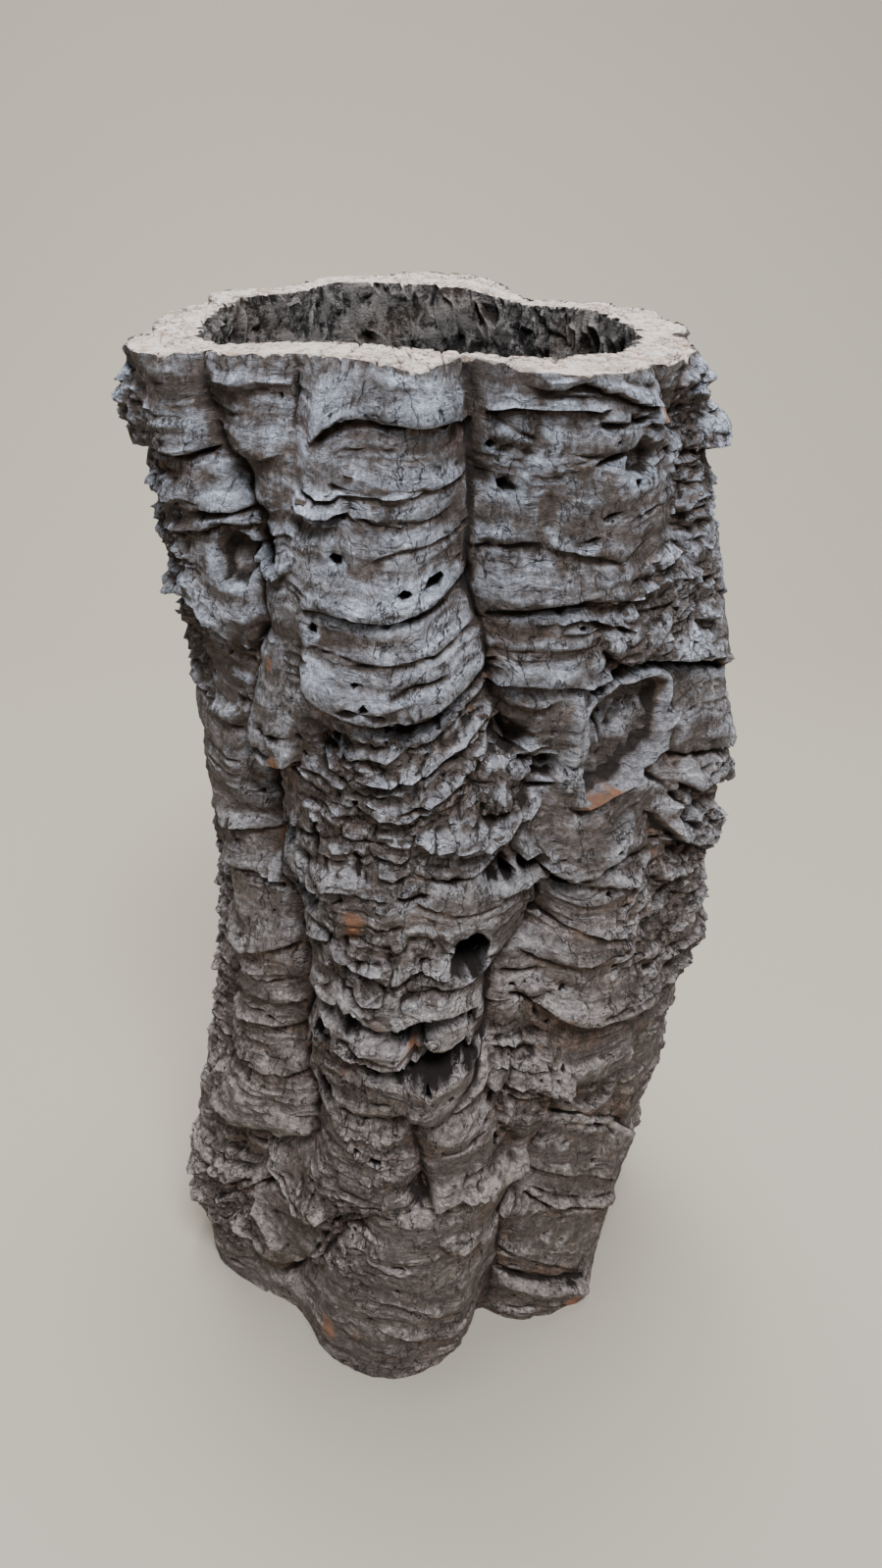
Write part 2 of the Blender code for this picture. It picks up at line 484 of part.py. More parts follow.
def carried_to_bark(tube):
    """The turned tube as a mesh, with each of its points moved out to the bark or in to the hollow."""
    graph = bpy.context.evaluated_depsgraph_get()
    mesh = bpy.data.meshes.new_from_object(tube.evaluated_get(graph))
    points = np.empty(len(mesh.vertices) * 3, np.float32)
    mesh.vertices.foreach_get("co", points)
    x, y, z = points.reshape(-1, 3).astype(float).T / MM
    angle = np.degrees(np.arctan2(x, -y))
    share = np.clip((np.hypot(x, y) - PLAIN_INNER) / (PLAIN_OUTER - PLAIN_INNER), 0, 1)
    inner = inside(angle, z)
    outer, drooped = bark(angle, z)
    outer = np.maximum(outer, inner + LEAST_WALL)
    radius = inner + share * (outer - inner)
    height = below_the_saw(angle, z + share * (drooped - z))
    turn = np.radians(angle)
    moved = np.stack([radius * np.sin(turn), -radius * np.cos(turn), height], 1) * MM
    mesh.vertices.foreach_set("co", moved.astype(np.float32).ravel())
    build = bmesh.new()
    build.from_mesh(mesh)
    bmesh.ops.recalc_face_normals(build, faces=build.faces)
    build.to_mesh(mesh)
    build.free()
    return mesh


def cutter_object(name, build, matrix, collection):
    """A wire cutter from a bmesh, with its place in its mesh."""
    mesh = bpy.data.meshes.new(name)
    build.to_mesh(mesh)
    build.free()
    mesh.transform(matrix)
    cutter = bpy.data.objects.new(name, mesh)
    cutter.hide_render = True
    cutter.display_type = "WIRE"
    collection.objects.link(cutter)
    return cutter


def hole_cutter(hole, collection):
    """A round bar of the hole's size that points at the axis and passes through the wall."""
    build = bmesh.new()
    bmesh.ops.create_cone(build, cap_ends=True, segments=12, radius1=1, radius2=1, depth=1)
    size = Matrix.Diagonal((hole.half_width * MM, hole.half_height * MM, MEAN_RADIUS * MM, 1))
    lie_down = Matrix.Rotation(math.radians(90), 4, "X")
    out = Matrix.Translation((0, -MEAN_RADIUS * MM, hole.height * MM))
    turn = Matrix.Rotation(math.radians(hole.angle), 4, "Z")
    return cutter_object("hole_cutter", build, turn @ out @ lie_down @ size, collection)


def foot_saw(collection):
    """A slab whose top is the plane that the branch stands on."""
    build = bmesh.new()
    bmesh.ops.create_cube(build, size=1)
    size = Matrix.Diagonal((4 * MEAN_RADIUS * MM, 4 * MEAN_RADIUS * MM, 10 * FOOT_SPARE * MM, 1))
    lower = Matrix.Translation((0, 0, -5 * FOOT_SPARE * MM))
    return cutter_object("foot_saw", build, lower @ size, collection)


def cut_away(branch, name, cutter):
    cut = branch.modifiers.new(name, "BOOLEAN")
    cut.operation = "DIFFERENCE"
    cut.object = cutter


def make_cork_branch():
    clear_scene()
    collection = new_collection("cork_branch")
    cutters = new_collection("cutters")
    tube = turned_tube(cutters)
    branch = bpy.data.objects.new("cork_bark", carried_to_bark(tube))
    bpy.data.objects.remove(tube)
    collection.objects.link(branch)
    for number, hole in enumerate(HOLES):
        cut_away(branch, f"hole_{number}", hole_cutter(hole, cutters))
    thin_out = branch.modifiers.new("thin_out", "DECIMATE")
    graph = bpy.context.evaluated_depsgraph_get()
    full = branch.evaluated_get(graph).to_mesh()
    full.calc_loop_triangles()
    thin_out.ratio = TRIANGLES / len(full.loop_triangles)
    cut_away(branch, "saw_foot", foot_saw(cutters))
    graph.update()
    mesh = bpy.data.meshes.new_from_object(branch.evaluated_get(graph))
    branch.modifiers.clear()
    branch.data = mesh
    mesh.transform(Matrix.Translation((-BOX_MIDDLE[0] * MM, -BOX_MIDDLE[1] * MM, 0)))
    mesh.materials.clear()
    mesh.materials.append(cork_material())
    mesh.shade_smooth()
    mesh.set_sharp_from_angle(angle=math.radians(50))


make_cork_branch()
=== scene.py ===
"""The look of the cork branch: a fine mesh of the bark, its flakes, and a weathered finish.

Places on the bark are (angle, height): degrees round the tube, 0 at the front and positive to the
right, and millimetres above the foot. Radii, depths and sizes are in millimetres too.
"""

import math
from collections import namedtuple

import bpy
import numpy as np
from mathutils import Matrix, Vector


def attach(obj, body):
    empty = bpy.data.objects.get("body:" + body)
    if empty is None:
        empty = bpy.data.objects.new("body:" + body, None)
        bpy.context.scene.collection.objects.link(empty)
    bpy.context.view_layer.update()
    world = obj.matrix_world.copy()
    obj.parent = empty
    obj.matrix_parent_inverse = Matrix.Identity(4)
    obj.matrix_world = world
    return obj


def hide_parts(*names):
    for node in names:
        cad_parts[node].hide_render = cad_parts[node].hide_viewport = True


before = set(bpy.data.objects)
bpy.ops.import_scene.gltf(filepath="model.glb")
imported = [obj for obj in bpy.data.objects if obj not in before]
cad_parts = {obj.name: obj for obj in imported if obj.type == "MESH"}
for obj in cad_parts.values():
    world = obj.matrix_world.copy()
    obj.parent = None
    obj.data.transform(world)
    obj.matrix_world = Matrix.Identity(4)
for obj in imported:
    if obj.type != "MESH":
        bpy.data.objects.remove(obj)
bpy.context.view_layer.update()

MM = 0.001
LENGTH = 500.0
MEAN_RADIUS = 122.0
MM_PER_DEGREE = math.radians(MEAN_RADIUS)
LEAST_WALL = 20.4
WALL_BEHIND_A_HOLE = 6.0
BOX_MIDDLE = (6.65, -2.85)  # the middle of the branch's box, measured from the axis of the hollow
AXIS_TO_MIDDLE = (BOX_MIDDLE[0] * MM, BOX_MIDDLE[1] * MM, 0)  # the same in metres

# The grid that the bark is worked out on, and how many triangles are kept of it.
COLUMNS, ROWS_UP, ROWS_ON_RIM, ROWS_INSIDE, TRIANGLES = 1060, 690, 54, 150, 192000
ROWS_ON_FOOT = 12

# Outlines of the tube seen from above, as (angle, radius), from the foot to the sawn rim.
FOOT = [(-150, 121), (-120, 122), (-90, 130), (-66, 134), (-50, 122), (-38, 116), (-24, 129), (-3, 130),
        (8, 118), (17, 106), (30, 114), (45, 120), (64, 114), (90, 114), (120, 118), (150, 124), (180, 126)]
CALF = [(-150, 118), (-120, 118), (-90, 130), (-70, 136), (-50, 124), (-38, 117), (-22, 130), (-3, 134),
        (8, 130), (17, 117), (30, 116), (45, 116), (70, 127), (90, 126), (120, 122), (150, 126), (180, 126)]
WAIST = [(-150, 112), (-120, 108), (-90, 110), (-70, 114), (-50, 117), (-30, 118), (-20, 128), (0, 136),
         (12, 128), (20, 118), (35, 124), (50, 131), (70, 139), (90, 138), (120, 124), (150, 122), (180, 124)]
CHEST = [(-150, 112), (-120, 106), (-90, 104), (-70, 108), (-50, 114), (-30, 117), (-20, 124), (0, 130),
         (12, 122), (25, 124), (40, 130), (55, 138), (72, 148), (90, 146), (120, 126), (150, 118), (180, 122)]
NECK = [(-150, 112), (-120, 108), (-90, 114), (-70, 117), (-50, 120), (-30, 119), (-20, 122), (0, 128),
        (9, 116), (20, 127), (35, 130), (50, 128), (72, 130), (90, 126), (120, 116), (150, 116), (180, 126)]
RIM = [(-158, 122), (-138, 100), (-126, 112), (-105, 109), (-88, 112), (-70, 122), (-50, 124), (-36, 114),
       (-24, 106), (-10, 110), (1, 124), (10, 110), (19, 127), (30, 132), (45, 130), (60, 119), (80, 115),
       (94, 118), (104, 110), (122, 118), (134, 112), (150, 106), (164, 128), (-178, 138)]
OUTLINES = [(0, FOOT), (80, CALF), (200, WAIST), (330, CHEST), (430, NECK), (LENGTH, RIM)]
HOLLOW = [(-152, 91), (-131, 76), (-119, 84), (-95, 85), (-60, 89), (-36, 78), (-21, 75), (-6, 80), (6, 84),
          (16, 88), (30, 93), (45, 89), (62, 88), (84, 88), (105, 84), (122, 82), (142, 79), (160, 82),
          (176, 85)]
HOLLOW_BELOW = [(-150, 88), (-90, 84), (-30, 86), (30, 90), (90, 94), (150, 88)]
HOLLOW_EASES_OVER = 160.0
# The saw ran a little out of true, so the rim lies this far below the full length, as (angle, drop).
RIM_DROP = [(-160, 0), (-115, 0), (-76, 4), (-58, 4), (-35, 1), (0, 0), (22, 2), (42, 5), (70, 7), (95, 7),
            (120, 5), (150, 6), (166, 2)]
DROP_REACHES = 40.0

# A furrow is a path of (angle, height) down the bark, half its width and its depth.
Furrow = namedtuple("Furrow", "path width depth")
# A ledge is a path of (angle, height) round the bark. The bark above the path swells over `run` and
# stands out by `lip` at the path. A negative lip is a shelf: the bark below the path stands out.
Ledge = namedtuple("Ledge", "path lip run")
# A lump or pit is an oval: its middle, half its width and half its height, how far it stands out, and
# the share of its size that it falls away over.
Oval = namedtuple("Oval", "angle height half_width half_height out edge", defaults=[1.0])
# A crack is a path of (angle, height), half its width and its depth.
Crack = namedtuple("Crack", "path width depth")

FURROWS = [
    Furrow([(10.5, 510), (10, 480), (9.5, 465), (10, 450), (9.5, 422), (13.5, 402), (15, 384),
            (16, 374)], 6, 12),
    Furrow([(16, 374), (21, 352), (22, 340), (20, 325), (19, 303)], 6, 8),
    Furrow([(28, 302), (27, 290), (26, 275), (23, 264), (16, 250), (14.5, 235), (14, 215), (12, 199),
            (6, 184), (0, 178)], 6, 15),
    Furrow([(-1, 184), (-2, 170), (-1, 158), (0, 148), (-2, 138), (-1, 124)], 5, 10),
    Furrow([(-43, 510), (-43, 485), (-42, 468), (-36, 455), (-32, 444), (-34.5, 432), (-33, 412), (-32, 403),
            (-38, 393), (-39, 380), (-41, 352), (-36, 336), (-35, 310), (-36, 295), (-31, 276)], 6, 12),
    Furrow([(-31, 276), (-29, 255), (-27, 243), (-29, 230), (-31, 205), (-29, 185), (-26.5, 165), (-28, 148),
            (-37, 135), (-44, 124)], 6, 13),
    Furrow([(-24, 510), (-23.2, 490), (-24, 472), (-23, 456)], 2.5, 2.4),
    Furrow([(42, 510), (47, 488), (51, 478), (55, 462), (57, 445), (58, 425)], 7, 10),
    Furrow([(36, 178), (35, 160), (34, 140), (29, 122), (26, 105), (22, 90), (22, 50), (20, 25),
            (17, -8)], 6, 12),
    Furrow([(-10, 120), (-14, 108), (-19, 97), (-22, 85), (-26, 66), (-31, 50), (-37, 36), (-46, 18)], 5, 10),
    Furrow([(66, 210), (62, 190), (58, 165), (56, 140), (58, 118), (66, 100)], 6, 8),
    Furrow([(-58, 300), (-60, 260), (-57, 220), (-60, 180), (-64, 140), (-62, 100)], 6, 6),
]
TOP_LEFT_LEDGES = [
    Ledge([(-70, 461), (-56, 462), (-48, 463), (-42, 467)], 7, 34),
    Ledge([(-62, 446), (-46, 443), (-38, 445), (-31, 450)], 5, 14),
    Ledge([(-60, 430), (-45, 436), (-38, 441), (-34, 441)], 5, 6),
    Ledge([(-66, 400), (-52, 407), (-47, 406), (-43, 397), (-39, 390), (-36, 394)], 7, 16),
    Ledge([(-64, 362), (-52, 356), (-44, 352)], 3, 20),
    Ledge([(-64, 298), (-49, 303), (-42, 307), (-35, 309)], 5, 10),
    Ledge([(-62, 276), (-50, 283), (-42, 287), (-36, 285)], 5, 14),
    Ledge([(-42, 489), (-36, 487), (-30, 490), (-26, 488)], 2, 9),
    Ledge([(-40, 468), (-36, 466), (-30, 465), (-26, 468)], 3, 14),
    Ledge([(-36, 426), (-31, 422), (-27, 424), (-23, 429)], 4, 10),
    Ledge([(-42, 351), (-38, 345), (-33, 344), (-28, 349), (-24, 354)], 8, 44),
    Ledge([(-37, 318), (-32, 312), (-27, 320), (-20, 324)], 4, 10),
    Ledge([(-34, 299), (-27, 301), (-22, 298), (-15, 300)], 6, 11),
]
TOP_MIDDLE_LEDGES = [
    Ledge([(-19, 473), (-16, 478), (-12, 483), (-8, 484), (0, 483), (6, 482), (10, 480)], 7, 26),
    Ledge([(-22, 452), (-18, 450), (-15, 451), (-12, 454)], 7, 9),
    Ledge([(-21, 458), (-16, 456), (-12, 459), (-4, 458), (3, 461), (10, 463)], 4, 8),
    Ledge([(-12, 452), (-4, 450), (2, 452), (8, 455)], 3, 5),
    Ledge([(-8, 439), (-2, 443), (4, 444), (10, 446)], 3, 9),
    Ledge([(-20, 418), (-12, 419), (-4, 418), (3, 422), (10, 428)], 5, 9),
    Ledge([(-11, 402), (-3, 402), (4, 405), (10, 410)], 3, 8),
    Ledge([(-20, 392), (-14, 385), (-8, 381), (-2, 381), (4, 385), (9, 390), (14, 397)], 9, 30),
    Ledge([(-7, 374), (0, 379), (6, 384), (11, 389), (15, 393)], 4, 5),
    Ledge([(-15, 361), (-6, 364), (0, 369), (6, 376), (12, 383), (16, 388)], 5, 6),
    Ledge([(-9, 352), (0, 356), (6, 362), (12, 370), (15, 374)], 5, 6),
    Ledge([(-3, 342), (4, 346), (8, 350), (14, 362)], 5, 7),
    Ledge([(-16, 336), (-8, 340), (-2, 338)], 4, 8),
    Ledge([(1, 328), (8, 322), (13, 321), (18, 324), (23, 333)], 9, 12),
    Ledge([(0, 314), (6, 307), (11, 308), (15, 313)], 5, 7),
    Ledge([(17, 293), (20, 294), (24, 297), (28, 299)], 7, 6),
    Ledge([(-2, 303), (6, 293), (12, 289), (20, 290), (27, 296)], 3, 7),
]
TOP_RIGHT_LEDGES = [
    Ledge([(13, 483), (17, 487), (22, 489), (29, 488)], 5, 5),
    Ledge([(19, 494), (25, 497), (31, 494), (36, 490), (42, 486)], 5, 8),
    Ledge([(29, 484), (34, 482), (39, 485)], 4, 6),
    Ledge([(11, 462), (16, 463), (23, 465)], 2, 8),
    Ledge([(10, 437), (14, 438), (19, 441), (23, 440), (30, 436), (35, 432), (39, 436)], 3, 12),
    Ledge([(11, 411), (16, 415), (22, 419), (28, 418), (37, 417)], 5, 22),
    Ledge([(21, 412), (30, 411), (35, 407), (38, 404)], 4, 4),
    Ledge([(13, 401), (20, 402), (26, 400), (31, 401)], 2, 8),
    Ledge([(14, 387), (20, 389), (26, 388), (30, 385), (33, 392)], 8, 13),
    Ledge([(16, 379), (20, 377), (24, 379)], 4, 8),
    Ledge([(40, 480), (46, 477), (52, 480)], 5, 12),
    Ledge([(46, 458), (56, 462), (66, 458), (78, 460)], 6, 16),
    Ledge([(52, 440), (60, 436), (70, 438)], 4, 12),
    Ledge([(33, 399), (38, 391), (44, 388), (50, 386), (55, 382)], 8, 24),
    Ledge([(52, 384), (56, 381), (62, 377), (70, 368), (80, 360)], 4, 16),
    Ledge([(49, 346), (56, 341), (62, 337), (70, 331), (84, 322)], 6, 24),
    Ledge([(52, 331), (60, 321), (68, 315), (84, 302)], 9, 22),
    Ledge([(46, 322), (50, 311), (55, 299), (60, 291), (65, 288), (70, 294)], 8, 16),
    Ledge([(20, 312), (26, 304), (31, 297), (35, 296), (38, 303), (42, 315)], 8, 17),
]
MIDDLE_LEDGES = [
    Ledge([(-60, 244), (-50, 242), (-46, 241), (-40, 246), (-31, 255)], 7, 16),
    Ledge([(-56, 226), (-42, 228), (-35, 232), (-28, 238)], 4, 8),
    Ledge([(-54, 210), (-40, 217), (-31, 220)], 4, 9),
    Ledge([(-52, 196), (-40, 202), (-31, 207)], 4, 8),
    Ledge([(-60, 172), (-48, 171), (-42, 172), (-35, 177), (-28, 184)], 5, 13),
    Ledge([(-68, 133), (-55, 134), (-48, 131), (-42, 133), (-37, 138), (-28, 147)], 11, 36),
    Ledge([(-26, 246), (-20, 243), (-16, 247), (-12, 243), (-8, 240), (-5, 241), (-2, 247), (1, 251),
           (5, 246), (9, 243), (13, 239)], 7, 12),
    Ledge([(-33, 196), (-29, 198), (-26, 214), (-20, 216), (-14, 221), (-8, 218), (-3, 221)], 6, 9),
    Ledge([(-2, 211), (3, 208), (7, 210), (13, 215)], -9, 13),
    Ledge([(1, 262), (6, 257), (12, 257), (18, 261), (25, 270)], 4, 13),
    Ledge([(-3, 180), (4, 181), (8, 184), (11, 190), (14, 200)], 11, 24),
    Ledge([(26, 299), (32, 293), (38, 290), (46, 284)], 7, 9),
    Ledge([(25, 281), (32, 270), (38, 262), (46, 256)], 4, 16),
    Ledge([(23, 258), (30, 252), (36, 248), (46, 250)], 4, 12),
    Ledge([(23, 236), (27, 229), (31, 222), (35, 216), (40, 213), (46, 211), (54, 213)], 8, 22),
    Ledge([(14, 192), (20, 188), (26, 183), (32, 179), (38, 175), (44, 175), (50, 181)], 9, 26),
]
LOWER_LEDGES = [
    Ledge([(2, 132), (4, 134), (7, 138), (11, 138), (16, 131), (21, 129), (26, 132)], 11, 18),
    Ledge([(19, 160), (24, 152), (28, 149), (31, 153)], 6, 26),
    Ledge([(4, 104), (8, 98), (12, 90), (17, 83), (21, 82), (25, 93)], 6, 16),
    Ledge([(-10, 41), (-2, 33), (4, 25), (9, 16), (15, 8)], 4, 14),
    Ledge([(-16, 64), (-5, 58), (2, 50), (10, 38)], 2, 10),
    Ledge([(-20, 30), (-12, 24), (-4, 18)], 3, 10),
    Ledge([(35, 148), (42, 143), (48, 135), (54, 126), (60, 110), (68, 92)], -5, 20),
    Ledge([(27, 118), (36, 110), (44, 98), (52, 85), (62, 66)], 3, 11),
    Ledge([(29, 98), (38, 84), (46, 72), (54, 60), (64, 44)], 6, 14),
    Ledge([(22, 58), (30, 50), (38, 38), (46, 22)], 3, 10),
    Ledge([(21, 40), (30, 34), (36, 28), (42, 21), (48, 12)], -9, 22),
    Ledge([(-46, 120), (-40, 106), (-36, 97), (-33, 94), (-28, 96), (-23, 105)], 9, 22),
    Ledge([(-48, 82), (-45, 64), (-42, 50), (-38, 40), (-33, 46), (-27, 60)], 8, 26),
    Ledge([(-56, 56), (-52, 44), (-48, 30), (-44, 28), (-39, 36)], 6, 13),
    Ledge([(-72, 84), (-62, 82), (-55, 84), (-48, 90), (-44, 96)], 6, 12),
    Ledge([(-80, 40), (-70, 44), (-58, 36)], 5, 18),
]
LUMPS = [
    Oval(4.9, 229.5, 12, 6.6, 9, 0.4),  # the loose-looking knob in the broken opening
    Oval(-15, 232, 17, 5, 5, 0.6),  # the tongue of bark left of it
    Oval(-7, 227, 13, 3.6, 5, 0.6),
    Oval(-6, 251, 22, 6, 4),
    Oval(70, 212, 30, 46, 6),
    Oval(-34, 288, 7, 8, 5),
    Oval(-72, 477, 26, 12, 5),
    Oval(-76, 56, 26, 26, 5),
    Oval(29, 358, 4, 22, 4),  # the pillar left of the knot
    Oval(52, 322, 9, 20, 5),
    Oval(72, 467, 16, 10, 6),
    Oval(62, 490, 18, 9, 6),
    Oval(74, 228, 20, 14, 5),
    Oval(76, 135, 20, 22, 5),
    Oval(26, 176, 14, 18, 8),
    Oval(-12, 300, 18, 16, 4),
    Oval(33, 386, 5, 4, 5),
]
PITS = [
    Oval(-31, 433, 7, 7, -10),
    Oval(-38.5, 427, 7, 11, -7),
    Oval(15, 482, 12, 26, -4),
    Oval(17, 454, 12, 20, -3),
    Oval(-24.5, 291, 8, 8, -11),
    Oval(-30, 316, 6, 6, -8),
    Oval(-36, 333, 5, 7, -7),
    Oval(17, 363, 8, 8, -9),
    Oval(25, 350, 5, 6, -8),
    Oval(15.5, 305, 6, 7, -10),
    Oval(23, 306, 5, 5, -9),
    Oval(-15, 367, 6, 5, -6),
    Oval(-4, 376, 9, 4, -6),
    Oval(4.5, 228, 16, 13, -9),
    Oval(-6, 213, 13, 4, -7),
    Oval(4, 216, 13, 6, -7),
    Oval(-2, 238, 8, 6, -6),
    Oval(-16, 238, 9, 5, -6),
    Oval(10.5, 271, 10, 10, -2),
    Oval(-1, 136, 6, 9, -6),
    Oval(-21, 223, 5, 9, -8),
    Oval(-22, 188, 6, 8, -8),
    Oval(-50, 108, 16, 20, -6),
    Oval(-52, 380, 26, 22, -5),
    Oval(38, 468, 7, 7, -6),
    Oval(58, 312, 12, 10, -10),
    Oval(45, 160, 16, 12, -5),
]
# Insect holes and torn openings, sheer-sided and painted black inside as the shade in them.
HOLES = [
    Oval(9.8, 268.5, 8, 9.5, -32), Oval(5.6, 212.6, 11, 4.4, -26), Oval(-2.5, 212, 7, 3, -18),
    Oval(-14.5, 238, 5.5, 4.2, -26), Oval(-12.8, 242, 2.4, 5, -24), Oval(-1.6, 239, 6.4, 8, -30),
    Oval(-3.4, 235, 4.6, 4, -28), Oval(4, 239.6, 9, 1.4, -18),
    Oval(10.9, 233, 1.5, 7, -16), Oval(1, 205, 1.4, 3.2, -12), Oval(-23.5, 222, 2.4, 6, -12),
    Oval(2.7, 429, 3.4, 2.6, -16),
    Oval(-2, 427, 1.4, 1.4, -9), Oval(-5, 417, 1.5, 1.5, -9), Oval(-18, 411, 1.7, 1.4, -8),
    Oval(-30.5, 434, 2.6, 3.2, -14), Oval(25.5, 352, 2.6, 3.6, -12), Oval(18.5, 301, 2.4, 3.2, -12),
    Oval(39.5, 283, 1.3, 1.3, -8), Oval(44, 274, 1.2, 1.2, -8), Oval(29, 217, 1.2, 1.6, -8),
    Oval(31.5, 192, 1.2, 1.2, -7), Oval(46, 158, 1.4, 2.2, -8), Oval(38, 128, 2.6, 1.3, -8),
    Oval(39, 113, 1.7, 1.3, -8), Oval(34.5, 65, 1.8, 2.4, -10), Oval(39.5, 54, 1.8, 2.6, -10),
    Oval(31, 237, 1.6, 1.2, -8), Oval(20.7, 241, 1.2, 1.2, -8), Oval(25.7, 45, 1.9, 1.7, -10),
    Oval(-5.5, 88, 3.2, 1.4, -9), Oval(-6, 70, 1.3, 1.5, -7),
    Oval(57, 118, 2.0, 2.4, -8), Oval(-15.5, 367, 2.0, 1.6, -10), Oval(-10, 395, 1.3, 1.1, -6),
    Oval(14, 472, 1.6, 1.2, -7), Oval(16, 459, 2.6, 2.0, -8), Oval(-24, 226, 1.6, 2.6, -9),
    Oval(-21, 191, 2.2, 2.6, -10), Oval(-29.5, 314, 2.2, 2.6, -10), Oval(-23.5, 291, 3.0, 3.4, -12),
]
CRACKS = [
    Crack([(-24, 503), (-23.2, 490), (-24, 474)], 0.8, 3.0),
    Crack([(-17, 418), (-10, 417.5), (0, 418), (6, 420)], 1.0, 4.0),
    Crack([(-15, 461), (-6, 460), (3, 462)], 0.8, 2.6),
    Crack([(-14, 452), (-6, 451), (4, 453)], 0.8, 2.6),
    Crack([(-6, 402), (0, 401), (4, 404)], 0.9, 3.0),
    Crack([(-9, 380), (-2, 380), (4, 384), (9, 389)], 1.2, 5.0),
    Crack([(-5, 372), (3, 378), (8, 384), (13.5, 388)], 1.0, 4.0),
    Crack([(1, 313), (5, 308), (12, 307), (15, 311)], 1.3, 6.0),
    Crack([(12, 413), (20, 418), (30, 419), (36, 418)], 1.1, 5.0),
    Crack([(31, 381), (36, 385), (42, 387), (50, 384), (60, 377), (68, 370), (71, 365)], 1.5, 7.0),
    Crack([(12, 486), (18, 478), (26, 471), (38, 469)], 0.7, 2.0),
    Crack([(10.5, 437), (20, 441), (30, 442)], 0.7, 2.4),
    Crack([(26, 297), (32, 290), (37, 290)], 1.2, 5.0),
    Crack([(8, 240), (10.5, 234), (10, 226), (8, 219)], 0.9, 6.0),
    Crack([(-12, 238), (-4, 236), (4, 241), (9, 240)], 1.0, 7.0),
    Crack([(-28, 240), (-20, 238), (-12, 235), (-3, 230)], 0.7, 2.0),
    Crack([(3, 134), (8, 139), (14, 133), (20, 128.5), (26, 132)], 1.0, 4.0),
    Crack([(8, 98), (15, 85), (20, 81)], 0.9, 4.0),
    Crack([(-12, 120), (-20, 105), (-25, 85), (-30, 60), (-38, 30)], 1.2, 5.0),
    Crack([(37, 142), (45, 135), (52, 125), (58, 108)], 0.9, 4.0),
    Crack([(24, 38), (32, 31), (40, 22), (46, 12)], 1.2, 6.0),
    Crack([(28, 105), (40, 88), (50, 72), (60, 60)], 0.7, 2.4),
    Crack([(31, 94), (42, 76), (54, 58)], 0.7, 2.4),
    Crack([(-58, 133), (-50, 131), (-42, 134), (-38, 138)], 1.3, 6.0),
    Crack([(-45, 128), (-41, 112), (-36, 100), (-31, 96)], 1.0, 4.0),
    Crack([(44, 340), (48, 333), (52, 322), (57, 308), (62, 296)], 1.0, 4.0),
]
# Where the bark is broken up into crags: the last number is how much of the crags' height it has.
CRAGGY = [
    Oval(2, 350, 50, 34, 1), Oval(52, 405, 40, 26, 1), Oval(66, 460, 40, 40, 1),
    Oval(-66, 430, 36, 70, 0.8), Oval(60, 270, 36, 60, 0.9), Oval(-8, 268, 40, 24, 0.8),
    Oval(-18, 212, 18, 22, 0.8), Oval(22, 205, 16, 18, 0.7), Oval(14, 142, 18, 8, 0.7),
    Oval(-66, 200, 32, 80, 0.8), Oval(-12, 150, 30, 40, 0.45), Oval(24, 178, 20, 26, 0.7),
    Oval(-64, 70, 36, 50, 0.9), Oval(-22, 100, 26, 40, 0.7), Oval(-14, 320, 30, 30, 0.7),
]
# Freshly broken bark: the last number is how orange it is.
FRESH = [
    Oval(-30.5, 389, 3, 4.5, 1), Oval(-28.5, 351, 4, 3.5, 0.9), Oval(-12, 290, 5, 6, 0.9),
    Oval(-13, 282, 4, 4, 0.7), Oval(-28.5, 199, 5, 4.5, 1), Oval(-1.5, 228, 2.4, 2.6, 1),
    Oval(-30, 197, 4, 5, 0.8), Oval(-8, 242, 6, 3, 0.5), Oval(28, 148, 4, 3, 0.9),
    Oval(31.8, 331, 3.6, 2.4, 1), Oval(34.6, 332.6, 4, 2.4, 1), Oval(37.6, 335.4, 4, 2.4, 1),
    Oval(31, 222, 4, 3, 0.8), Oval(43.5, 5, 5, 6, 0.9), Oval(-24, 22, 6, 9, 0.7),
    Oval(-16, 28, 4, 6, 0.5), Oval(4, 131, 3, 2.4, 0.7), Oval(45, 480, 5, 6, 0.7),
    Oval(-15, 212, 5, 6, 0.5), Oval(-52, 455, 3, 4, 0.5), Oval(-36, 304, 4, 5, 0.5),
    Oval(-9, 383, 2, 2.5, 0.6), Oval(-17, 232, 4, 5, 0.4), Oval(48, 300, 5, 3, 0.5),
    Oval(24, 165, 6, 5, 0.3), Oval(-4, 388, 3, 2, 0.4), Oval(20, 143, 10, 3, 0.35),
]
# The knot: its middle, and the edge of its bowl round that as (direction, millimetres), direction 0
# being to the right and 90 straight up.
KNOT_ANGLE, KNOT_HEIGHT = 40, 357
KNOT_EDGE = [(-145, 22.4), (-125, 29), (-106, 20), (-84, 15.5), (-42, 14.2), (9, 17), (36, 23), (51, 27),
             (78, 25), (111, 25.4), (131, 26), (150, 21.3), (180, 18.5)]
KNOT_DEPTH = 10.0
KNOT_TILT = 0.30  # how much the bowl's floor rises to the right
KNOT_WALL = 2.2
KNOT_REACH = 45  # the stretch of bark that the knot may change, each way from its middle
COLLAR_HEIGHT = 4.4
COLLAR_WIDTH = 1.8
COLLAR_TURN = math.radians(35)  # how far below the right-hand side the collar is at its strongest
MOAT_DEPTH = 2.5
CLEFT_DEPTH = 2.6  # the split at the bottom of a furrow or under a lip
LEDGE_WANDERS = 30  # how far past its path a ledge may have an effect
RELIEF_SETTLES = 4.0
SHARP_FOLD = 62  # degrees between two faces from which the edge between them is crisp
CRAG_HEIGHT = 2.6
ROLL_HEIGHT = 1.6
BACK_STARTS = 80
BACK_LOBES = 7
BACK_SEED = 7
STREWN_CRACKS, CRACK_SEED = 420, 31
STREWN_HOLES, HOLE_SEED = 260, 32
RIM_SEED, FOOT_SEED = 70, 90
EDGE_FADE = 3.0
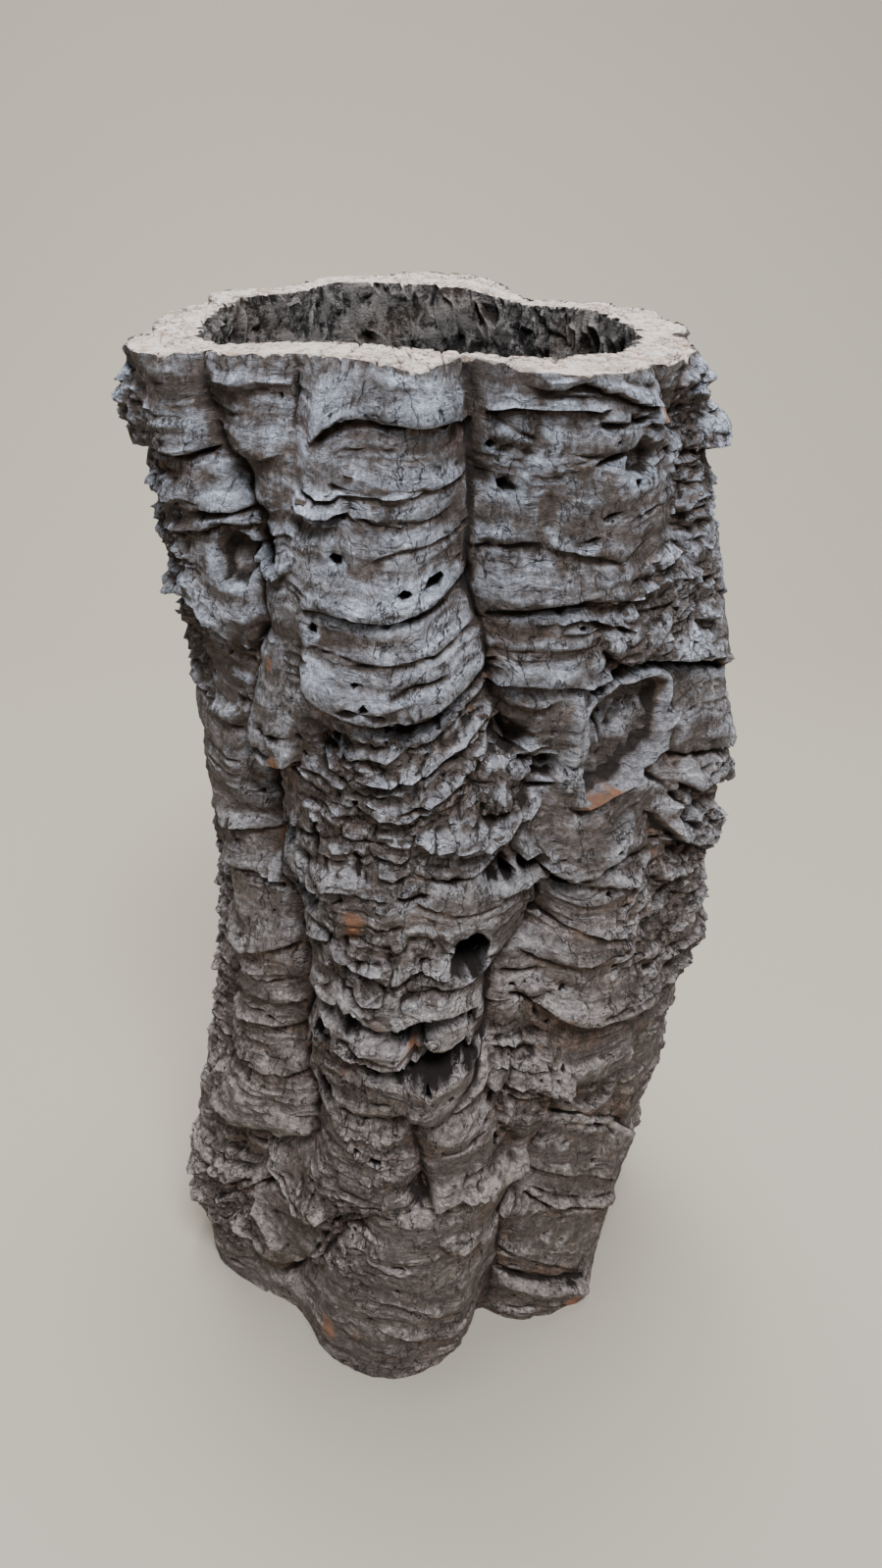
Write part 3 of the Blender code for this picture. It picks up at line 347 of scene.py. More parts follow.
FOOT_SPARE = 8.0
LINING_ROUGHENS = (310, 430)  # the heights between which the wall of the hollow turns rough


def eased(x):
    """0 below 0, 1 above 1, and a smooth rise between."""
    x = np.clip(x, 0, 1)
    return x * x * (3 - 2 * x)


def wrapped(angle):
    """The angle brought to between -180 and 180 degrees."""
    return (np.asarray(angle) + 180) % 360 - 180


def hermite(t, step, left, right, slope_left, slope_right):
    """A smooth curve from left to right as t goes from 0 to 1."""
    return ((2 * t**3 - 3 * t**2 + 1) * left + (t**3 - 2 * t**2 + t) * step * slope_left
            + (3 * t**2 - 2 * t**3) * right + (t**3 - t**2) * step * slope_right)


def outline_radius(outline, angle):
    """The radius of a closed outline of (angle, radius) points at each angle."""
    points = sorted(outline)
    before = [(a - 360, r) for a, r in points[-3:]]
    after = [(a + 360, r) for a, r in points[:3]]
    angles, radii = np.array(before + points + after, float).T
    slopes = np.gradient(radii, angles)
    i = np.clip(np.searchsorted(angles, angle) - 1, 0, len(angles) - 2)
    step = angles[i + 1] - angles[i]
    return hermite((angle - angles[i]) / step, step, radii[i], radii[i + 1], slopes[i], slopes[i + 1])


def trunk_radius(angle, height):
    """The lobed body of the tube, before any relief, for a row of angles and a column of heights."""
    levels = np.array([level for level, _ in OUTLINES], float)
    radii = np.stack([outline_radius(outline, angle) for _, outline in OUTLINES])
    slopes = np.gradient(radii, levels, axis=0)
    i = np.clip(np.searchsorted(levels, height) - 1, 0, len(levels) - 2)
    step = (levels[i + 1] - levels[i])[:, None]
    t = np.clip((height - levels[i])[:, None] / step, 0, 1)
    return hermite(t, step, radii[i], radii[i + 1], slopes[i], slopes[i + 1])


def scrambled(column, row, seed):
    """A repeatable random number from 0 to 1 for each cell of a grid."""
    mask = np.uint64(0xFFFFFFFF)
    h = (column.astype(np.uint64) * np.uint64(374761393) + row.astype(np.uint64) * np.uint64(668265263)
         + np.uint64(seed * 97531)) & mask
    h = ((h ^ (h >> np.uint64(13))) * np.uint64(1274126177)) & mask
    return ((h ^ (h >> np.uint64(16))) & mask) / 2.0**32


CELLS_BELOW = 50  # noise cells kept free under height 0


def cell_numbers(around, tall, seed):
    """One random number for each cell of a grid that closes round the tube."""
    return scrambled(np.arange(around)[None, :], np.arange(tall)[:, None], seed)


def noise(angle, height, across, up, seed):
    """Smooth noise from about -1 to 1 in cells of across by up, closed round the tube."""
    around = max(3, round(2 * math.pi * MEAN_RADIUS / across))
    u = wrapped(angle) / 360 * around + around
    v = height / up + CELLS_BELOW
    column, row = np.floor(u).astype(int), np.floor(v).astype(int)
    fu, fv = u - column, v - row
    turn = 2 * math.pi * cell_numbers(around, int(row.max()) + 2, seed)
    lean_u, lean_v = np.cos(turn), np.sin(turn)
    total = 0
    for right in (0, 1):
        weight_u = eased(1 - abs(fu - right))
        for above in (0, 1):
            cell = row + above, (column + right) % around
            reach = lean_u[cell] * (fu - right) + lean_v[cell] * (fv - above)
            total = total + reach * weight_u * eased(1 - abs(fv - above))
    return 1.5 * total


def crust(angle, height, across, up, seed):
    """Rounded crusts from about -1 to 1, with sharp creases between them."""
    return 3.2 * abs(noise(angle, height, across, up, seed)) - 1


def plates(angle, height, across, up, seed):
    """Cracked plates in cells of across by up: how far in from its plate's edge each place lies, and
    the plate's own random number."""
    around = max(3, round(2 * math.pi * MEAN_RADIUS / across))
    u = wrapped(angle) / 360 * around + around
    v = height / up + CELLS_BELOW
    column, row = np.floor(u).astype(int), np.floor(v).astype(int)
    tall = int(row.max()) + 2
    side, rise, pick = (cell_numbers(around, tall, seed + k) for k in range(3))
    first = np.full(u.shape, 9.0)
    second = np.full(u.shape, 9.0)
    own = np.zeros(u.shape)
    for right in (-1, 0, 1):
        for above in (-1, 0, 1):
            cell = row + above, (column + right) % around
            du = column + right + 0.1 + 0.8 * side[cell] - u
            dv = row + above + 0.1 + 0.8 * rise[cell] - v
            far = np.hypot(du, dv)
            nearer = far < first
            second = np.where(nearer, first, np.minimum(second, far))
            own = np.where(nearer, pick[cell], own)
            first = np.where(nearer, far, first)
    return second - first, own


def shingles(angle, level, across, up, seed):
    """Torn flakes in rows of cells across by up: how far each stands out, most at its lower edge, and
    how near a place is to the gap between two of them."""
    around = max(3, round(2 * math.pi * MEAN_RADIUS / across))
    rows = level / up + CELLS_BELOW
    row = np.floor(rows).astype(int)
    tall = int(row.max()) + 2
    shift = cell_numbers(1, tall, seed)[row, 0]
    columns = wrapped(angle) / 360 * around + around + shift
    column = np.floor(columns).astype(int)
    own = cell_numbers(around, tall, seed + 1)[row, column % around]
    along = columns - column
    from_gap = np.minimum(along, 1 - along) * across
    return own**1.5 * (1 - (rows - row)) * eased(from_gap / 1.5 + 0.4), 1 - eased(from_gap / 0.8)


def back_of_the_tube():
    """Furrows and ledges for the side that faces away, in the same habit as the front."""
    rng = np.random.default_rng(BACK_SEED)
    count = BACK_LOBES + 1
    starts = np.linspace(BACK_STARTS, 360 - BACK_STARTS, count) + rng.uniform(-5, 5, count)
    heights = np.linspace(LENGTH + FOOT_SPARE, -FOOT_SPARE, 8)
    courses = [start + np.cumsum(rng.uniform(-7, 7, len(heights))) for start in starts]
    furrows = []
    for course in courses:
        furrows.append(Furrow(list(zip(course, heights)), rng.uniform(5, 9), rng.uniform(7, 15)))
    ledges = []
    for left, right in zip(courses, courses[1:]):
        height = rng.uniform(12, 34)
        while height < LENGTH - 8:
            a = np.interp(height, heights[::-1], left[::-1])
            b = np.interp(height, heights[::-1], right[::-1])
            a, b = a + rng.uniform(-4, 0.3 * (b - a)), b + rng.uniform(-0.3 * (b - a), 4)
            slant, sag = rng.uniform(-16, 16), rng.uniform(-9, 4)
            path = [(a, height - slant), ((a + b) / 2, height + sag), (b, height + slant)]
            ledges.append(Ledge(path, 2 + 6 * rng.random() ** 1.6, rng.uniform(8, 36)))
            height += rng.uniform(10, 52)
    return furrows, ledges


def strewn_cracks(count, seed):
    """Short cracks all over the bark, most of them level."""
    rng = np.random.default_rng(seed)
    cracks = []
    for _ in range(count):
        angle, height = rng.uniform(-180, 180), rng.uniform(8, LENGTH - 8)
        if rng.random() < 0.75:
            half, slant = rng.uniform(1.5, 6.5), rng.uniform(-0.5, 0.7)
            path = [(angle - half, height - half * slant), (angle, height + rng.uniform(-1.5, 1.5)),
                    (angle + half, height + half * slant)]
        else:
            half = rng.uniform(3, 11)
            path = [(angle - 0.6, height + half), (angle + rng.uniform(-1, 1), height),
                    (angle, height - half)]
        cracks.append(Crack(path, rng.uniform(0.5, 1.0), rng.uniform(1.5, 4.5)))
    return cracks


def strewn_holes(count, seed):
    """Pinholes and small insect holes all over the bark."""
    rng = np.random.default_rng(seed)
    holes = []
    for _ in range(count):
        size = 0.6 + 1.3 * rng.random() ** 3
        holes.append(Oval(rng.uniform(-180, 180), rng.uniform(8, LENGTH - 8), size * rng.uniform(0.8, 1.4),
                          size, -rng.uniform(3, 8)))
    return holes


class Bark:
    """The bark unrolled: rows of places up the tube and columns round it, and what each place is like."""

    def __init__(self, columns, rows):
        self.angle = -180 + 360 * np.arange(columns) / columns
        self.height = np.linspace(0, LENGTH, rows)
        self.angles, self.heights = np.meshgrid(self.angle, self.height)
        place = self.angles, self.heights
        # How far each place stands out and hangs down, how much of it is brown (painted shade, and less
        # weathered bark under lips), freshly broken, split open (painted black, partly shade), or part of the
        # knot.
        self.relief, self.droop, self.brown, self.fresh, self.split, self.knot = np.zeros((6, rows, columns))
        # What the ledges near a place do to the level of its growth, and how near it is to a ledge's lip.
        self.growth_shift, self.growth_weight, self.lips = np.zeros((3, rows, columns))
        # Unevenness that the features share: up and down, sideways, in outline, in depth and in strength.
        self.wobble = (1.1 * noise(*place, 26, 20, 1) + 0.7 * noise(*place, 10, 8, 2)
                       + 0.6 * noise(*place, 4, 3, 21))
        self.sideways = 3.0 * noise(*place, 18, 30, 3) + 0.7 * noise(*place, 4, 5, 22)
        self.ragged = 0.22 * noise(*place, 9, 9, 4) + 0.12 * noise(*place, 3, 3, 23)
        self.broken = eased(0.75 + 1.6 * noise(*place, 14, 9, 24))
        self.uneven = np.clip(0.9 + 0.5 * noise(*place, 22, 12, 33), 0.5, 1.25)

    def window(self, left, right, low, high):
        """The rows and columns of a stretch of the bark, and its angles and heights, with no jump."""
        rows = np.flatnonzero((self.height >= low) & (self.height <= high))
        step = 360 / len(self.angle)
        first, last = math.floor((left + 180) / step), math.ceil((right + 180) / step)
        columns = np.arange(first, last + 1)
        here = np.ix_(rows, columns % len(self.angle))
        return here, (-180 + step * columns)[None, :], self.height[rows][:, None]

    def add_furrow(self, furrow):
        """A furrow is sharp at its bottom, and the lobes on both sides round over into it."""
        heights, angles = np.array([(h, a) for a, h in reversed(furrow.path)], float).T
        room = 4 * furrow.width / MM_PER_DEGREE + 5
        here, angle, height = self.window(angles.min() - room, angles.max() + room, heights[0] - 9,
                                          heights[-1] + 9)
        lean = np.interp(height, heights, np.gradient(angles, heights)) * MM_PER_DEGREE
        off = (angle - np.interp(height, heights, angles)) * MM_PER_DEGREE
        away = abs(off + self.sideways[here]) / np.hypot(1, lean)
        off = away / furrow.width
        fade = eased((height - heights[0] + 8) / 16) * eased((heights[-1] - height + 8) / 16)
        depth = furrow.depth * (0.55 + 0.45 * self.uneven[here])
        self.relief[here] -= depth * fade * (0.55 * np.exp(-off**1.3) + 0.45 * np.exp(-((off / 3) ** 2)))
        cleft = fade * np.exp(-((away / 1.1) ** 2)) * eased((furrow.depth - 3) / 9) * self.broken[here]
        self.relief[here] -= CLEFT_DEPTH * cleft
        # The cleft is also painted black, partly as the shade at the bottom of the furrow.
        self.split[here] = np.maximum(self.split[here], 0.6 * cleft)

    def add_ledge(self, ledge):
        """A ledge swells out above its path, with a recess and a broken crack tucked under its lip."""
        angles, heights = np.array(ledge.path, float).T
        tuck = 3 + 0.25 * ledge.run
        lip = abs(ledge.lip) * min(1, 0.34 + 0.06 * abs(ledge.lip))
        reach = LEDGE_WANDERS + ledge.run
        here, angle, height = self.window(angles[0] - EDGE_FADE, angles[-1] + EDGE_FADE,
                                          heights.min() - reach, heights.max() + reach)
        course = np.interp(angle, angles, heights)
        above = height - course + self.wobble[here]
        fade = eased((angle - angles[0]) / EDGE_FADE + 0.5) * eased((angles[-1] - angle) / EDGE_FADE + 0.5)
        side = above if ledge.lip > 0 else -above
        crest = (0.72 + 0.28 * eased(side / 2)) * (1 - eased(side / ledge.run)) ** 1.3
        recess = -0.40 * np.exp(np.minimum(side, 0) / tuck)
        out = lip * fade * self.uneven[here]
        self.relief[here] += out * np.where(side > 0, crest, recess)
        hang = out * 0.22 * np.exp(-((side - 1) / 3) ** 2) * (side > 0)
        self.droop[here] += hang * math.copysign(1, ledge.lip)
        under = fade * min(1, lip / 5)
        crack = under * self.broken[here] * np.exp(-(((side + 1.0) / 1.0) ** 2))
        self.relief[here] -= CLEFT_DEPTH * crack
        # The crack is also painted black, partly for the shade under the lip.
        self.split[here] = np.maximum(self.split[here], crack)
        # Brown under the lip: partly less weathered bark, partly painted shade.
        shade = under * (side < 0) * np.exp(np.minimum(side, 0) / (4 + 0.35 * ledge.run))
        self.brown[here] = np.maximum(self.brown[here], shade)
        edge = fade * np.exp(-(((side - 2) / 3) ** 2))
        self.lips[here] = np.maximum(self.lips[here], edge)
        weight = fade * np.exp(-((above / 20) ** 2))
        self.growth_weight[here] += weight
        self.growth_shift[here] += weight * (heights.mean() - course)

    def oval(self, oval, spread, rough=1.0):
        """The places round an oval, and there 0 at the oval's middle and 1 on its edge."""
        wide = spread * oval.half_width / MM_PER_DEGREE
        tall = spread * oval.half_height
        here, angle, height = self.window(oval.angle - wide, oval.angle + wide, oval.height - tall,
                                          oval.height + tall)
        across = (angle - oval.angle) * MM_PER_DEGREE / oval.half_width
        return here, np.hypot(across, (height - oval.height) / oval.half_height) + rough * self.ragged[here]

    def add_lump(self, lump):
        here, distance = self.oval(lump, 1.9)
        self.relief[here] += lump.out * eased((1 + 0.4 * lump.edge - distance) / lump.edge)

    def add_pit(self, pit):
        here, distance = self.oval(pit, 1.9)
        self.relief[here] += pit.out * eased((1.25 - distance) / 0.5)

    def add_hole(self, hole):
        here, distance = self.oval(hole, 2.0, 0.9)
        sheer = eased((1.12 - distance) / 0.3)
        self.relief[here] += hole.out * sheer
        # Painted shade: the hole's inside is painted black through split.
        self.split[here] = np.maximum(self.split[here], eased((1.32 - distance) / 0.3))

    def add_knot(self):
        """A healed branch stub: a steep bowl with a flat floor, and a collar on its right and below."""
        turn = KNOT_REACH / MM_PER_DEGREE
        here, angle, height = self.window(KNOT_ANGLE - turn, KNOT_ANGLE + turn,
                                          KNOT_HEIGHT - KNOT_REACH, KNOT_HEIGHT + KNOT_REACH)
        place = self.angles[here], self.heights[here]
        across = (angle - KNOT_ANGLE) * MM_PER_DEGREE + 0.4 * self.sideways[here]
        up = height - KNOT_HEIGHT + 0.8 * self.wobble[here]
        direction = np.arctan2(up, across)
        lumps = noise(*place, 7, 7, 47)
        beyond = np.hypot(across, up) - outline_radius(KNOT_EDGE, np.degrees(direction)) + 1.3 * lumps
        self.relief[here] *= 0.2 + 0.8 * eased((beyond - COLLAR_WIDTH) / 4)
        collar = eased((np.cos(direction + COLLAR_TURN) + 0.45) / 0.6) * (0.7 + 0.3 * self.uneven[here])
        collar = collar * (0.85 + 0.7 * noise(*place, 5, 5, 48))
        self.relief[here] += COLLAR_HEIGHT * collar * np.exp(-(((beyond - COLLAR_WIDTH) / COLLAR_WIDTH) ** 2))
        floor = 1 - eased((beyond + KNOT_WALL) / KNOT_WALL)
        self.relief[here] -= floor * (KNOT_DEPTH - KNOT_TILT * across + 0.08 * up)
        self.relief[here] += floor * (0.7 * crust(*place, 3.0, 16, 45) + 1.2 * crust(*place, 12, 9, 46))
        self.knot[here] = 1 - eased((beyond - COLLAR_WIDTH) / 5)
        # Painted shade: the bowl's steep wall and the moat beside the collar are painted brown and black.
        wall = eased((beyond + 3.8) / 2) * (1 - eased((beyond - 0.5) / 0.9))
        moat = collar * np.exp(-(((beyond - 3.4 * COLLAR_WIDTH) / 1.5) ** 2))
        self.relief[here] -= MOAT_DEPTH * moat
        self.brown[here] = np.where(beyond < 8, 0.7 * wall + 0.5 * moat, self.brown[here])
        self.split[here] = self.split[here] * (1 - self.knot[here]) + 0.34 * wall + 0.4 * moat

    def add_crack(self, crack):
        """A crack follows its path, unevenly wide, and closes at both ends."""
        points = np.array(crack.path, float)
        room = 4
        low, high = points.min(0), points.max(0)
        here, angle, height = self.window(low[0] - room, high[0] + room, low[1] - room, high[1] + room)
        x = angle * MM_PER_DEGREE + 0.5 * self.sideways[here]
        y = height + 0.6 * self.wobble[here]
        nearest = np.full(x.shape, 99.0)
        along = np.zeros(x.shape)
        spots = points * [MM_PER_DEGREE, 1]
        lengths = np.hypot(*np.diff(spots, axis=0).T)
        done = 0
        for start, end, length in zip(spots, spots[1:], lengths):
            way = (end - start) / length
            t = np.clip((x - start[0]) * way[0] + (y - start[1]) * way[1], 0, length)
            off = np.hypot(x - start[0] - t * way[0], y - start[1] - t * way[1])
            along = np.where(off < nearest, done + t, along)
            nearest = np.minimum(nearest, off)
            done += length
        ends = eased(along / 4 + 0.15) * eased((done - along) / 4 + 0.15)
        width = crack.width * (0.6 + 0.8 * self.broken[here]) * (0.35 + 0.65 * ends)
        depth = np.exp(-((nearest / width) ** 2)) * ends * (0.3 + 0.7 * self.broken[here])
        self.relief[here] -= crack.depth * depth
        self.split[here] = np.maximum(self.split[here], depth * min(1, crack.depth / 5))

    def add_fresh(self, spot):
        here, distance = self.oval(spot, 2.0)
        self.fresh[here] = np.maximum(self.fresh[here], spot.out * eased((1.15 - distance) / 0.4))

    def craggy_share(self):
        """1 where the bark is broken up, 0 where it grew in smooth bands."""
        behind = abs(self.angles) > BACK_STARTS
        share = 0.9 * eased(0.25 + 1.8 * noise(self.angles, self.heights, 90, 110, 10)) * behind
        for zone in CRAGGY:
            here, distance = self.oval(zone, 1.6, 0)
            share[here] = np.maximum(share[here], zone.out * eased(1.5 - distance))
        return share

    def smoothed(self, field, size):
        """The field blurred over about that many millimetres, closed round the tube."""
        pad = 60
        tall = np.pad(field, ((pad, pad), (0, 0)), mode="edge")
        up = np.fft.fftfreq(tall.shape[0], d=self.height[1])[:, None]
        round_the_tube = np.fft.rfftfreq(tall.shape[1], d=MM_PER_DEGREE * 360 / tall.shape[1])[None, :]
        keep = np.exp(-2 * (math.pi * size) ** 2 * (up**2 + round_the_tube**2))
        return np.fft.irfft2(np.fft.rfft2(tall) * keep, tall.shape)[pad:-pad]

    def grow(self):
        """Adds every feature, the broad ones first."""
        back_furrows, back_ledges = back_of_the_tube()
        for furrow in FURROWS + back_furrows:
            self.add_furrow(furrow)
        front_ledges = TOP_LEFT_LEDGES + TOP_MIDDLE_LEDGES + TOP_RIGHT_LEDGES + MIDDLE_LEDGES + LOWER_LEDGES
        for ledge in front_ledges + back_ledges:
            self.add_ledge(ledge)
        for lump in LUMPS:
            self.add_lump(lump)
        for pit in PITS:
            self.add_pit(pit)
        self.add_knot()
        self.growth = self.heights + self.smoothed(self.growth_shift / (self.growth_weight + 0.12), 3)
        self.craggy = self.craggy_share() * (1 - self.knot)
        place = self.angles, self.heights
        self.relief += self.craggy * CRAG_HEIGHT * (noise(*place, 15, 12, 5) + 0.7 * noise(*place, 8, 7, 6))
        self.relief += (1 - self.craggy) * ROLL_HEIGHT * noise(*place, 46, 11, 7)
        self.add_crust()
        self.add_growth_lines()
        for crack in CRACKS + strewn_cracks(STREWN_CRACKS, CRACK_SEED):
            self.add_crack(crack)
        for hole in HOLES + strewn_holes(STREWN_HOLES, HOLE_SEED):
            self.add_hole(hole)
        for spot in FRESH:
            self.add_fresh(spot)
        clear_of_the_saw = eased((LENGTH - self.heights - 4) / 4) * eased((self.heights - 4) / 4)
        patchy = eased(0.5 + 1.6 * noise(*place, 24, 16, 34))
        self.flaky = clear_of_the_saw * np.clip(self.craggy * patchy + 0.12 * self.lips * self.broken, 0, 1)

    def slant(self):
        """How steeply the growth lines climb to the right."""
        column = MM_PER_DEGREE * 360 / len(self.angle)
        across = (np.roll(self.growth, -1, axis=1) - np.roll(self.growth, 1, axis=1)) / (2 * column)
        up = np.gradient(self.growth, self.height, axis=0)
        return np.clip(-across / np.maximum(up, 0.4), -1.3, 1.3)

    def add_crust(self):
        """Where the bark is craggy it is torn into rows of flakes along its growth, with gaps between."""
        place = self.angles, self.heights
        bent = self.angles + 1.3 * self.sideways
        level = self.growth + 3.0 * noise(*place, 17, 10, 41) + 1.3 * noise(*place, 6, 4, 42) + self.wobble
        coarse, gap = shingles(bent, level, 13, 8, 50)
        middle, chink = shingles(bent + 2 * self.wobble, level + 0.8 * self.sideways, 7, 4.4, 53)
        fine, nick = shingles(bent - self.wobble, level + 1.5 * self.wobble, 4, 2.4, 56)
        lumpy = 1.1 * crust(bent, level, 20, 8, 35) + 0.5 * crust(bent, level, 6, 3, 36)
        share = eased(1.2 * self.craggy)
        torn = 3.6 * (coarse - 0.3) + 2.4 * (middle - 0.3) + 1.3 * (fine - 0.3) + lumpy
        open_gap = np.maximum(0.9 * gap * self.broken, 0.6 * chink * (1 - self.broken))
        smooth = 0.5 * (middle - 0.3) + 0.45 * (fine - 0.3)
        self.relief += share * (torn - 1.6 * open_gap) + (1 - share) * smooth
        self.split = np.maximum(self.split, share * np.maximum(open_gap, 0.3 * nick * self.broken))

    def add_growth_lines(self):
        """Fine steps that each year's growth leaves, one below another, closer in some places."""
        place = self.angles, self.heights
        drift = 2.0 * noise(*place, 44, 22, 26) + 0.6 * noise(*place, 12, 7, 27)
        level = self.growth + drift
        banded = (1 - 0.85 * self.craggy) * (1 - 0.8 * self.knot)
        strong = eased(0.45 + 1.7 * noise(*place, 38, 17, 28)) * banded
        self.relief += strong * (0.9 * (0.5 - level / 8.3 % 1) + 0.45 * (0.5 - level / 3.1 % 1))
        lines = 0.5 * crust(self.angles, level, 30, 2.6, 29) + 0.3 * crust(self.angles, level, 13, 1.5, 38)
        self.relief += banded * (0.15 + 0.85 * strong) * lines
        self.relief += 0.22 * banded * crust(self.angles, self.heights, 1.7, 12, 30)
        self.relief += 0.5 * banded * noise(*place, 9, 40, 39)


def hollow_radius(angle, height):
    """The inside of the tube: the outline seen at the rim, easing to a rounder one below it."""
    low = eased((LENGTH - height) / HOLLOW_EASES_OVER)
    return outline_radius(HOLLOW, angle) * (1 - low) + outline_radius(HOLLOW_BELOW, angle) * low


def inside(angle, height, angles, heights):
    """The radius of the hollow, uneven, and well clear of the trunk's outline."""
    uneven = 2.2 * noise(angles, heights, 60, 70, 8) + 1.0 * noise(angles, heights, 22, 26, 9)
    return np.minimum(hollow_radius(angles, heights) + uneven, trunk_radius(angle, height) - LEAST_WALL)


def lining_relief(angles, heights):
    """The torn inner face of the wall, roughest near the rim, where it is seen."""
    low, high = LINING_ROUGHENS
    strength = 0.35 + 0.65 * eased((heights - low) / (high - low))
    bent = angles + 3 * noise(angles, heights, 14, 14, 60)
    edge, own = plates(bent, heights, 12, 17, 61)
    torn = 1.3 * crust(bent, heights, 11, 12, 64) + 0.8 * crust(bent, heights, 5, 5.5, 65)
    return strength * (1.6 * (own - 0.5) - 1.2 * (1 - eased(edge / 0.2)) + torn)


def below_the_saw(angle, height):
    """Heights near the rim are brought down to where the saw passed."""
    return height - outline_radius(RIM_DROP, angle) * eased((height - LENGTH + DROP_REACHES) / DROP_REACHES)


def sawn_relief(angle, depth_in, seed):
    """How deep the pores, slits and saw marks of a sawn end are, and how much of each place is open."""
    place = angle, depth_in
    bent = angle + 2 * noise(*place, 30, 9, seed), depth_in + 1.6 * noise(*place, 14, 8, seed + 1)
    slit_edge, _ = plates(*bent, 26, 6, seed + 2)
    slits = (1 - eased(slit_edge / 0.16)) * eased(2.0 * noise(*place, 24, 10, seed + 5) + 0.4)
    pore_edge, pore_own = plates(*place, 6, 3.2, seed + 6)
    pores = (1 - eased((0.62 - pore_edge) / 0.2)) * (pore_own > 0.55)
    across_the_wall = angle + noise(*place, 9, 14, seed + 9) * 0.8, depth_in * 0.25
    crack_edge, crack_own = plates(*across_the_wall, 14, 9, seed + 10)
    cracks = (1 - eased(crack_edge / 0.12)) * (crack_own > 0.35)
    gone = np.clip(np.maximum(np.maximum(slits, pores), cracks), 0, 1)
    tooth_marks = np.sin(angle * MM_PER_DEGREE * 0.9 + depth_in * 0.7)
    saw_marks = 0.12 * tooth_marks + 0.2 * noise(*place, 4, 3, seed + 13)
    return 2.6 * gone + saw_marks + 0.25, gone


# What the mesh knows of each place, for the finish and the flakes.
FIELDS = "sawn hollow nook shelter lit brown split craggy fresh growth slant flaky"
Ring = namedtuple("Ring", "angle radius height " + FIELDS)


def stretch_of_rings(shape, **given):
    """One stretch of the wall's section, with everything that isn't given at nothing."""
    return Ring(**{name: np.broadcast_to(given.get(name, 0.0), shape) for name in Ring._fields})


def outer_rings(bark):
    """The outside of the bark, from the foot up."""
    outer = trunk_radius(bark.angle, bark.height) + bark.relief - RELIEF_SETTLES
    inner = inside(bark.angle, bark.height, bark.angles, bark.heights)
    outer = np.maximum(outer, inner + WALL_BEHIND_A_HOLE)
    ends = eased((LENGTH - bark.heights) / 12) * eased(bark.heights / 12)
    height = below_the_saw(bark.angles, bark.heights - bark.droop * ends)
    # nook and shelter say how sunken each place is, lit how much it faces up: the finish paints shade from
    # the first two and a highlight from lit.
    nook = (bark.smoothed(outer, 1.6) - outer) / 0.7
    shelter = (bark.smoothed(outer, 7) - outer) / 5 * (1 - 0.8 * bark.knot)
    lit = np.clip(-np.gradient(bark.smoothed(outer, 1.3), bark.height, axis=0), -1, 1)
    return stretch_of_rings(
        outer.shape, angle=bark.angles, radius=outer, height=height, nook=nook, shelter=shelter, lit=lit,
        brown=bark.brown, split=bark.split, craggy=bark.craggy, fresh=bark.fresh,
        growth=bark.growth, slant=bark.slant(), flaky=bark.flaky)


def inner_rings(bark):
    """The wall of the hollow, from the rim down, with its rows closer together near the rim."""
    down = np.linspace(0, 1, ROWS_INSIDE) ** 1.5
    height = LENGTH * (1 - down)
    angles, heights = np.meshgrid(bark.angle, height)
    relief = lining_relief(angles, heights)
    radius = inside(bark.angle, height, angles, heights) + relief
    return stretch_of_rings(radius.shape, angle=angles, radius=radius, hollow=1.0, growth=heights,
                            height=below_the_saw(angles, heights), nook=relief / 1.5)


def sawn_rings(bark, outer, inner, rows, top):
    """A sawn end: rings from the bark's edge in to the hollow's, or back out again at the foot."""
    share = np.linspace(0, 1, rows + 2)[1:-1, None]
    if not top:
        share = 1 - share
    at = -1 if top else 0
    rim, edge = outer.radius[at], inner.radius[0 if top else -1]
    angles = np.broadcast_to(bark.angle, (rows, len(bark.angle)))
    radius = rim + share * (edge - rim)
    depth, gone = sawn_relief(angles, share * (rim - edge), RIM_SEED if top else FOOT_SEED)
    level = outer.height[at] + share * (inner.height[0 if top else -1] - outer.height[at])
    height = level - depth if top else level + depth
    return stretch_of_rings(radius.shape, angle=angles, radius=radius, height=height, sawn=1.0, split=gone,
                            growth=LENGTH * top)


def ring_mesh(name, stretches):
    """A closed mesh from stretches of rings that follow each other round the wall's section."""
    whole = Ring(*(np.concatenate(parts) for parts in zip(*stretches)))
    rows, columns = whole.angle.shape
    turn = np.radians(whole.angle)
    x = whole.radius * np.sin(turn) - BOX_MIDDLE[0]
    y = -whole.radius * np.cos(turn) - BOX_MIDDLE[1]
    points = np.stack([x, y, whole.height], -1) * MM
    row, column = np.meshgrid(np.arange(rows), np.arange(columns), indexing="ij")
    row_after, column_after = (row + 1) % rows, (column + 1) % columns
    corners = [row * columns + column, row * columns + column_after,
               row_after * columns + column_after, row_after * columns + column]
    quads = np.stack(corners, -1).reshape(-1, 4).astype(np.int32)
    mesh = bpy.data.meshes.new(name)
    mesh.vertices.add(rows * columns)
    mesh.vertices.foreach_set("co", points.astype(np.float32).ravel())
    mesh.loops.add(quads.size)
    mesh.loops.foreach_set("vertex_index", quads.ravel())
    mesh.polygons.add(len(quads))
    mesh.polygons.foreach_set("loop_start", np.arange(0, quads.size, 4, dtype=np.int32))
    mesh.update(calc_edges=True)
    for field in FIELDS.split():
        values = getattr(whole, field) * (MM if field == "growth" else 1)
        attribute = mesh.attributes.new(field, "FLOAT", "POINT")
        attribute.data.foreach_set("value", values.astype(np.float32).ravel())
    return mesh


def linked(name, mesh):
    """A new object of that mesh in the scene."""
    piece = bpy.data.objects.new(name, mesh)
    bpy.context.scene.collection.objects.link(piece)
    return piece


def plain_mesh(piece):
    """Turns what the piece's modifiers make into its mesh."""
    graph = bpy.context.evaluated_depsgraph_get()
    mesh = bpy.data.meshes.new_from_object(piece.evaluated_get(graph))
    piece.modifiers.clear()
    piece.data = mesh
    return piece


